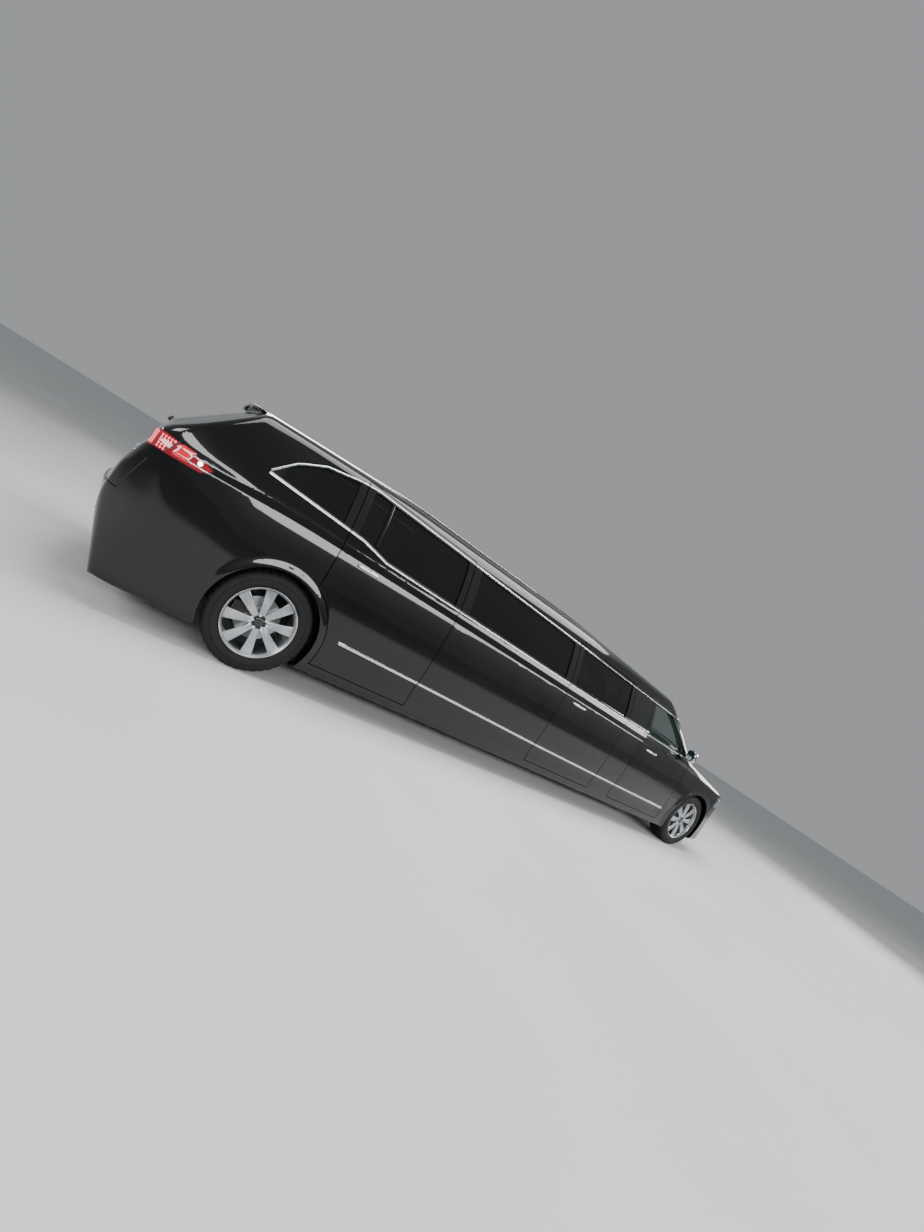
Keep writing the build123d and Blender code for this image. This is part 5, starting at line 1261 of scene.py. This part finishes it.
seatPieces = []
for side, title in sides:
    sx, sy = frontSeat["x"], side * frontSeat["y"]
    cushionAt = seatFrame((sx + 0.320, sy, 0.503), (0, -1, 0), (0.03, 0, 1))
    flutes = [(0, np.linspace(-0.13, 0.13, 5), -0.19, 0.11), (0, (-0.165, 0.165), -0.22, 0.215),
              (1, (0.115,), -0.16, 0.16)]
    seatPieces.append(cushion("frontCushion" + title, (0.243, 0.219, 0.078), cushionAt, 0.018, flutes, 0.028))
    stitches("frontCushionStitches" + title, seatPieces[-1], cushionAt, [(0, u, -0.18, 0.18) for u in (-0.175, 0.175)])
    backAt = seatFrame((sx - 0.0295, sy, 0.7915), (0, 1, 0), leanOut)
    flutes = [(0, np.linspace(-0.12, 0.12, 5), -0.17, 0.15), (0, (-0.160, 0.160), -0.24, 0.215)]
    seatPieces.append(cushion("frontBack" + title, (0.238, 0.256, 0.060), backAt, 0.016, flutes, 0.028))
    stitches("frontBackStitches" + title, seatPieces[-1], backAt, [(0, u, -0.20, 0.20) for u in (-0.170, 0.170)])
    seatBase("frontSeatBase" + title, (sx + 0.05, sy - 0.215, 0.2562), (sx + 0.50, sy + 0.215, 0.428))
    for k, y in enumerate((-0.055, 0.055)):
        addPiece(f"headRestPost{title}{k + 1}", *roundBox((sx - 0.155, sy + y, 1.055), (0.006, 0.006, 0.035), 3.0),
                 "platedChrome", "body", "chrome_trim", 60)
    headAt = seatFrame(Vector((sx - 0.160, sy, 1.1365)), (0, 1, 0), (0.98, 0, 0.12))
    seatPieces.append(cushion("frontHeadRest" + title, (0.126, 0.074, 0.046), headAt, 0.010,
                              [(0, (-0.085, 0.085), -0.07, 0.07)], 0.020))
for obj in seatPieces:
    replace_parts(obj, "front_seats")

rearPieces = []
rx = rearSeat["x"]
rearAt = seatFrame((rx + 0.320, 0, 0.512), (0, -1, 0), (0.03, 0, 1))
places = [(0, (-0.215, 0.215), -0.22, 0.25)]
flutes = [(0, [c + d for c in (-0.43, 0.0, 0.43) for d in (-0.105, -0.035, 0.035, 0.105)], -0.19, 0.16)]
rearPieces.append(cushion("rearBenchCushion", (0.640, 0.219, 0.080), rearAt, 0.020, places + flutes, 0.034))
stitches("rearBenchStitches", rearPieces[-1], rearAt, [(0, u, -0.19, 0.19) for u in (-0.225, -0.205, 0.205, 0.225)])
rearBackAt = seatFrame((rx - 0.0290, 0, 0.7940), (0, 1, 0), leanOut)
rearPieces.append(cushion("rearBenchBack", (0.640, 0.254, 0.060), rearBackAt, 0.018,
                          [(0, (-0.215, 0.215), -0.25, 0.25)]
                          + [(0, [c + d for c in (-0.43, 0.0, 0.43) for d in (-0.105, -0.035, 0.035, 0.105)],
                              -0.18, 0.17)], 0.034))
for k, y in enumerate((-0.43, 0.0, 0.43)):
    headAt = seatFrame(Vector((rx - 0.160, y, 1.1365)), (0, 1, 0), (0.98, 0, 0.12))
    rearPieces.append(cushion(f"rearHeadRest{k + 1}", (0.120, 0.074, 0.044), headAt, 0.010,
                              [(0, (-0.080, 0.080), -0.07, 0.07)], 0.020))
seatBase("rearBenchBase", (rx + 0.05, -0.620, 0.2562), (rx + 0.515, 0.620, 0.436))
benchBack, benchFront = rearAxle + 1.560, rearAxle + 3.800
middle, long = (benchBack + benchFront) / 2, (benchFront - benchBack) / 2
benchAt = seatFrame((middle, 0.4500, 0.512), (1, 0, 0), (0, -0.03, 1))
seats = [long * (2 * (k + 0.5) / 4 - 1) for k in range(4)]
splits = [long * (2 * (k + 1) / 4 - 1) for k in range(3)]
rearPieces.append(cushion("sideBenchCushion", (long - 0.012, 0.200, 0.080), benchAt, 0.020,
                          [(0, splits, -0.19, 0.19)]
                          + [(0, [c + d for c in seats for d in (-0.14, -0.07, 0.0, 0.07, 0.14)], -0.15, 0.12)],
                          0.036))
stitches("sideBenchStitches", rearPieces[-1], benchAt, [(0, u + d, -0.17, 0.17) for u in splits for d in (-0.01, 0.01)])
benchBackAt = seatFrame((middle, 0.7000, 0.776), (1, 0, 0), (0, -1, 0.11))
rearPieces.append(cushion("sideBenchBack", (long - 0.012, 0.172, 0.055), benchBackAt, 0.016,
                          [(0, splits, -0.165, 0.165)]
                          + [(0, [c + d for c in seats for d in (-0.14, -0.07, 0.0, 0.07, 0.14)], -0.12, 0.12)],
                          0.036))
seatBase("sideBenchBase", (benchBack + 0.01, 0.280, 0.2562), (benchFront - 0.01, 0.770, 0.436))
for obj in rearPieces:
    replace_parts(obj, "saloon_seats")
print("seats padded")


# Side details: rubber at the glass, the quarter light's bar, and the small corner panels
strips("waistSeal", lambda x: waistLine(x) + 0.006, trim["waistSeal"], "softRubber", "cowl_plastic")
strips("headSeal", lambda x: headLine(x) - 0.001, trim["headSeal"], "softRubber", "cowl_plastic")
for side, title in sides:
    z = np.linspace(1.248, 1.588, 14)
    points, normals = sidePoint(rearAxle + 0.444 + 0.02 * (z - 1.27), z, side)
    sweepStrip("quarterLightBar" + title, points, normals, 0.024, 0.002, "glossBlackCover",
               "rear_door_" + title.lower(), "tinted_glass")
    skinPatch("cornerPanel" + title,
              [(rearAxle - 0.430, 1.302), (rearAxle - 0.352, 1.299), (rearAxle - 0.352, 1.400),
               (rearAxle - 0.400, 1.342)], side, 0.0010, "body", (6, 8))
# the fuel flap on the left: only its seam
a = np.linspace(0, 2 * math.pi, 41)
square = [(math.copysign(abs(math.cos(t)) ** 0.6, math.cos(t)), math.copysign(abs(math.sin(t)) ** 0.6, math.sin(t)))
          for t in a]
points, normals = sidePoint([rearAxle - 0.43 + 0.095 * c for c, _ in square], [0.945 + 0.085 * s for _, s in square],
                            1)
sweepStrip("fuelFlapSeam", points, normals, 0.0035, 0.0006, "satinBlackInsert", "body", "cowl_plastic")


# Lamps' inner forms: the smooth red bulge, the outer cell's fold, and the headlamps behind their lens
def domePatch(name, corners, side, proud, finishName, body, slot, count=12):
    # a pillow on the skin between four places
    u, v, x, z, faces = patchGrid(corners, (count, count))
    points, normals = sidePoint(x, z, side)
    lift = proud * (1 - (2 * u - 1) ** 4) * (1 - (2 * v - 1) ** 4) - 0.0006
    return addPiece(name, np.vstack([points + normals * lift[:, None], points - normals * 0.004]), faces, finishName,
                    body, slot, 50)


for side, title in sides:
    domePatch("lampBulge" + title,
              [(rearAxle - 0.962, 1.060), (rearAxle - 0.868, 1.060), (rearAxle - 0.838, 1.140),
               (rearAxle - 0.930, 1.146)], side, 0.0045, "litRedBulge", "body", "red_lens")
    z = np.linspace(1.056, 1.138, 12)
    points, normals = sidePoint(rearAxle - 0.862 + 0.36 * (z - 1.056), z, side)
    sweepStrip("lampFold" + title, points, normals, 0.004, 0.001, "satinBlackInsert", "body", "cowl_plastic")
    y = side * np.array([0.585, 0.690, 0.775])
    for k, (size, out, finishName) in enumerate((
            ((0.092, 0.092, 0.006), -0.030, "platedChrome"), ((0.070, 0.070, 0.010), -0.026, "satinBlackInsert"),
            ((0.060, 0.060, 0.012), -0.021, "lampGlass"))):
        points, normals = endPoint(y, 0.800 + 0 * y, 1, out)
        setOnPoints(f"headlampUnits{title}{k + 1}", points, [(1, 0, 0)] * 3, size, finishName, "body",
                    "round")
    y = side * np.linspace(0.530, 0.815, 24)
    points, normals = endPoint(y, 0.742 + 0.008 * np.linspace(0, 1, 24), 1, -0.008)
    sweepStrip("dayStrip" + title, points, normals, 0.012, 0.003, "whiteLightGuide", "body", "lamp_lens")
    spot, normal = endPoint(side * 0.640, 0.330, 1, 0.001)
    setOnPoints("fogRing" + title, spot, normal, (0.105, 0.105, 0.010), "platedChrome", "body",
                "round")
    spot, normal = endPoint(side * 0.640, 0.330, 1, 0.003)
    setOnPoints("fogLamp" + title, spot, normal, (0.082, 0.082, 0.012), "lampGlass", "body", "round")

# Nose: slats behind the grille's bars and in the low intake; parking sensors on both bumpers
for k, z in enumerate(np.linspace(0.500, 0.810, 9)):
    endStrip(f"grilleSlat{k + 1}", lambda y, z=z: z + 0 * y, -0.455, 0.455, 1, 0.012, 0.010, "satinBlackInsert",
             "body", "cowl_plastic", -0.040, 40)
for k, z in enumerate(np.linspace(0.276, 0.364, 5)):
    endStrip(f"intakeSlat{k + 1}", lambda y, z=z: z + 0 * y, -0.432, 0.432, 1, 0.010, 0.016, "satinBlackInsert",
             "body", "cowl_plastic", -0.034, 40)
for title, end, rows in (("Nose", 1, [(y, 0.420) for y in (-0.66, -0.50, 0.50, 0.66)]),
                         ("Tail", -1, [(y, 0.520) for y in (-0.62, -0.24, 0.24, 0.62)])):
    points, normals = endPoint([r[0] for r in rows], [r[1] for r in rows], end)
    setOnPoints("parkingSensors" + title, points, normals, (0.020, 0.020, 0.004), "glossBlackCover", "body",
                "round")
endStrip("hoodEdgeStrip", lambda y: 0.868 - 0.012 * (y / 0.48) ** 2, -0.480, 0.480, 1, 0.020, 0.006, "platedChrome",
         "body", "chrome_trim")

# Wipers: arm, blade and pivot
def wiper(name, pivot, ends, end, body):
    y = np.linspace(ends[0][0], ends[1][0], 24)
    z = np.linspace(ends[0][1], ends[1][1], 24)
    points, normals = endPoint(y, z, end)
    sweepStrip(name + "Blade", points, normals, 0.012, 0.013, "softRubber", body, "cowl_plastic")
    t = np.linspace(0, 1, 20)
    mid = ((ends[0][0] + ends[1][0]) / 2, (ends[0][1] + ends[1][1]) / 2)
    points, normals = endPoint(pivot[0] + (mid[0] - pivot[0]) * t, pivot[1] + (mid[1] - pivot[1]) * t, end, 0.012)
    sweepStrip(name + "Arm", points, normals, 0.016, 0.007, "grainedPolypropylene", body, "cowl_plastic", 0.004)
    spot, normal = endPoint(pivot[0], pivot[1], end, 0.006)
    setOnPoints(name + "Pivot", spot, normal, (0.030, 0.030, 0.024), "grainedPolypropylene", body,
                "round")


wiper("driverWiper", (0.03, 1.158), ((0.10, 1.172), (0.60, 1.180)), 1, "body")
wiper("passengerWiper", (-0.56, 1.152), ((-0.50, 1.168), (-0.04, 1.178)), 1, "body")
wiper("rearWiper", (0.0, 1.228), ((0.05, 1.246), (0.37, 1.240)), -1, "liftgate")

# Roof spoiler: a blade that carries on the roof's crown behind the screen, thinning to its tips
blade = {"front": rearAxle - 0.5990, "half": 0.520, "chord": 0.0850, "thick": 0.0200}


def roofHeight(x, y):
    z = np.full(np.shape(x), 1.65)
    for _ in range(6):
        value, n = crownField("roofRear", x, np.abs(y), z)
        z = z - value / n[:, 2]
    return z


rows = []
for y in np.linspace(-1, 1, 97) * blade["half"]:
    share = math.sqrt(max(1 - abs(y / blade["half"]) ** 5, 0.0))
    chord, thick = blade["chord"] * (0.25 + 0.75 * share), blade["thick"] * (0.2 + 0.8 * share)
    u = np.concatenate([np.linspace(0, 0.9, 10), [0.96, 0.99, 1.0, 0.99, 0.96], np.linspace(0.9, 0, 10)])
    down = np.concatenate([np.full(10, 0.0), [0.08, 0.25, 0.5, 0.75, 0.92], np.linspace(1.0, 1.3, 10)])
    x = blade["front"] - chord * u
    z = roofHeight(x, np.full(25, y)) - 0.0008 - thick * down
    rows.append(np.stack([x, np.full(25, y), z], 1))
faces = [(i * 25 + k, i * 25 + (k + 1) % 25, (i + 1) * 25 + (k + 1) % 25, (i + 1) * 25 + k) for i in range(96)
         for k in range(25)] + [tuple(range(25)), tuple(range(96 * 25, 97 * 25))]
addPiece("spoilerBlade", np.vstack(rows), faces, "polishedBlackLacquer", "liftgate", "black_paint", 45)
flatBox("highBrakeLight", (rearAxle - 0.6836, 0, 1.6385), (0.0014, 0.150, 0.0050), "reflectorRed", "liftgate",
        0.001)
print("small parts set")

# Inside: the instrument panel's crowned pad, the binnacle, a screen, vents and the steering wheel
dash = [(2.602, 0.664), (2.330, 0.664), (2.275, 0.720), (2.248, 0.800), (2.240, 0.880), (2.252, 0.936),
        (2.285, 0.972), (2.380, 0.994), (2.500, 1.004), (2.602, 1.006)]
rows = []
for y in np.linspace(-0.735, 0.735, 60):
    end = 1 - (abs(y) / 0.735) ** 14
    ridge = 0.040 * math.exp(-((y - 0.38) / 0.17) ** 4)
    well = 0.022 * math.exp(-(y / 0.15) ** 4)
    rows.append([(x + (0.020 * (1 - end) + well - 0.3 * ridge) * (x < 2.5), y,
                  0.835 + (z - 0.835) * (0.93 + 0.07 * end) + (ridge if 2.24 < x < 2.42 and z > 0.93 else 0) * 0.2)
                 for x, z in dash])
n = len(dash)
faces = [(i * n + k, i * n + (k + 1) % n, (i + 1) * n + (k + 1) % n, (i + 1) * n + k) for i in range(59)
         for k in range(n)] + [tuple(range(n)), tuple(range(59 * n, 60 * n))]
dashPad = addPiece("dashPad", [p for row in rows for p in row], faces, "softTouchSkin", "body", "dash_plastic", 50)
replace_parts(dashPad, "dashboard")
addPiece("centreScreen", *roundBox((2.246, 0.0, 0.905), (0.012, 0.130, 0.062), 8.0, (32, 16)), "glossBlackCover",
         "body", "dash_plastic", 50)
addPiece("dialCluster", *roundBox((2.226, 0.38, 0.935), (0.014, 0.150, 0.048), 5.0, (40, 16)), "glossBlackCover",
         "body", "dash_plastic", 50)
setOnPoints("dialRings", [(2.2115, 0.38 + d, 0.935) for d in (-0.075, 0.075)], [(-1, 0, 0)] * 2,
            (0.072, 0.072, 0.003), "platedChrome", "body", "round")
setOnPoints("ventSlats", [(2.246, y + dy, 0.905) for y in (-0.63, -0.22, 0.22, 0.63) for dy in np.linspace(
    -0.042, 0.042, 8)], [(-1, 0, 0)] * 32, (0.050, 0.004, 0.020), "satinBlackInsert", "body")
wheelAt = seatFrame((2.130, 0.38, 0.998), (0, 1, 0), (-1, 0, 0.35))
ring = []
for i in range(64):
    a = 2 * math.pi * i / 64
    for j in range(14):
        b = 2 * math.pi * j / 14
        r = 0.174 + 0.0135 * math.cos(b)
        ring.append(wheelAt @ Vector((r * math.cos(a), r * math.sin(a), 0.0135 * math.sin(b))))
faces = [(i * 14 + j, i * 14 + (j + 1) % 14, (i + 1) % 64 * 14 + (j + 1) % 14, (i + 1) % 64 * 14 + j)
         for i in range(64) for j in range(14)]
addPiece("steeringRim", ring, faces, "fullGrainLeather", "body", "dash_plastic", 60)
forms = [roundBox((0, 0, 0.004), (0.070, 0.052, 0.022), 3.6, (40, 20))]
for angle in (0, 180, 270):
    c, s = math.cos(math.radians(angle)), math.sin(math.radians(angle))
    verts, faces = roundBox((0.112, 0, -0.001), (0.056, 0.017, 0.008), 5.0, (24, 12))
    forms.append(([(x * c - y * s, x * s + y * c, z) for x, y, z in verts], faces))
forms.append(roundBox((0, 0, -0.075), (0.038, 0.038, 0.070), 5.0, (24, 16)))
verts, faces = joinForms(*forms)
addPiece("steeringBoss", [wheelAt @ Vector(v) for v in verts], faces, "softTouchSkin", "body", "dash_plastic", 50)
flatBox("partitionPane", (rearAxle + 4.180, 0, 1.265), (0.003, 0.428, 0.173), "laminatedGlass", "body",
        0.001)
flatBox("cabinetRail", (rearAxle + 2.175, -0.4285, 0.8745), (0.672, 0.0022, 0.005), "platedChrome", "body",
        0.001)
print("cabin fitted")

# The other solids keep their shape and take their finish
plainNodes = {
    "floor_pan": "sprayedUnderseal", "rear_floor": "sprayedUnderseal", "front_structure": "sprayedUnderseal",
    "engine": "castAluminium", "radiator": "finnedAluminium", "front_suspension": "forgedSteel", "rear_suspension": "forgedSteel",
    "knuckle_left": "forgedSteel", "knuckle_right": "forgedSteel", "exhaust": "aluminisedSteel",
    "partition": "wovenHeadliner", "bar_cabinet": "lacqueredWalnut",
}
for node, finishName in plainNodes.items():
    mesh = nodes[node].data
    mesh.materials.clear()
    mesh.materials.append(finish(finishName))


# Floor, light and camera
floorMesh = bpy.data.meshes.new("studioFloor")
floorMesh.from_pydata([(-60, -60, 0), (60, -60, 0), (60, 60, 0), (-60, 60, 0)], [], [(0, 1, 2, 3)])
studioFloor = bpy.data.objects.new("studioFloor", floorMesh)
bpy.context.scene.collection.objects.link(studioFloor)
finishes["paleStudioFloor"] = {
    # painted studio floor, rolled and matt
    "dark": "c9cacb", "light": "d2d3d3", "rough": (0.7, 0.85), "cloudMm": 1500, "grainMm": 8, "bump": 0.02,
}
floorMesh.materials.append(finish("paleStudioFloor"))

studio = {
    "air": "cdd0d3", "airStrength": 0.55,
    # name, place, aim, width, height, watts
    "softboxes": [
        ("overheadSoftbox", (0.0, -0.5, 5.2), (0.0, 0.0, 0.0), 9.0, 3.0, 520),
        ("sideStrip", (0.5, -7.5, 2.6), (0.5, 0.0, 0.8), 22.0, 0.9, 900),
        ("tailSoftbox", (-9.0, -2.5, 3.2), (-3.5, 0.0, 0.9), 3.0, 2.0, 230),
        ("farSideSoftbox", (1.0, 7.5, 3.6), (0.0, 0.0, 0.8), 9.0, 1.6, 300),
        ("noseSoftbox", (9.5, -2.0, 3.4), (3.5, 0.0, 0.8), 3.0, 2.0, 220),
    ],
}
world = bpy.data.worlds.new("paleStudioAir")
bpy.context.scene.world = world
world.use_nodes = True
world.node_tree.nodes.clear()
air = addNode(world.node_tree, "ShaderNodeBackground",
              {"Color": linear(studio["air"]), "Strength": studio["airStrength"]})
addNode(world.node_tree, "ShaderNodeOutputWorld", links={"Surface": air.outputs[0]})
for name, place, aim, wide, tall, watts in studio["softboxes"]:
    lamp = bpy.data.lights.new(name, "AREA")
    lamp.shape = "RECTANGLE"
    lamp.size, lamp.size_y, lamp.energy = wide, tall, watts
    holder = bpy.data.objects.new(name, lamp)
    bpy.context.scene.collection.objects.link(holder)
    holder.location = place
    holder.rotation_euler = (Vector(aim) - Vector(place)).to_track_quat("-Z", "Y").to_euler()

view = {"place": (-3.922, -4.584, 1.252), "azimuth": 33.33, "elevation": -1.39, "roll": 32.58,
        "focalPixels": 527.1, "frameTall": 1232}
az, el, roll = (math.radians(view[k]) for k in ("azimuth", "elevation", "roll"))
ahead = Vector((math.sin(az) * math.cos(el), math.cos(az) * math.cos(el), math.sin(el)))
level = Vector((math.cos(az), -math.sin(az), 0.0))
upright = level.cross(ahead)
right = math.cos(roll) * level + math.sin(roll) * upright
up = -math.sin(roll) * level + math.cos(roll) * upright
lens = bpy.data.cameras.new("photoCamera")
lens.sensor_width = 36.0
lens.lens = 36.0 * view["focalPixels"] / view["frameTall"]
lens.clip_start, lens.clip_end = 0.05, 200.0
camera = bpy.data.objects.new("photoCamera", lens)
bpy.context.scene.collection.objects.link(camera)
camera.matrix_world = Matrix((
    (right.x, up.x, -ahead.x, view["place"][0]), (right.y, up.y, -ahead.y, view["place"][1]),
    (right.z, up.z, -ahead.z, view["place"][2]), (0, 0, 0, 1)))
bpy.context.scene.camera = camera
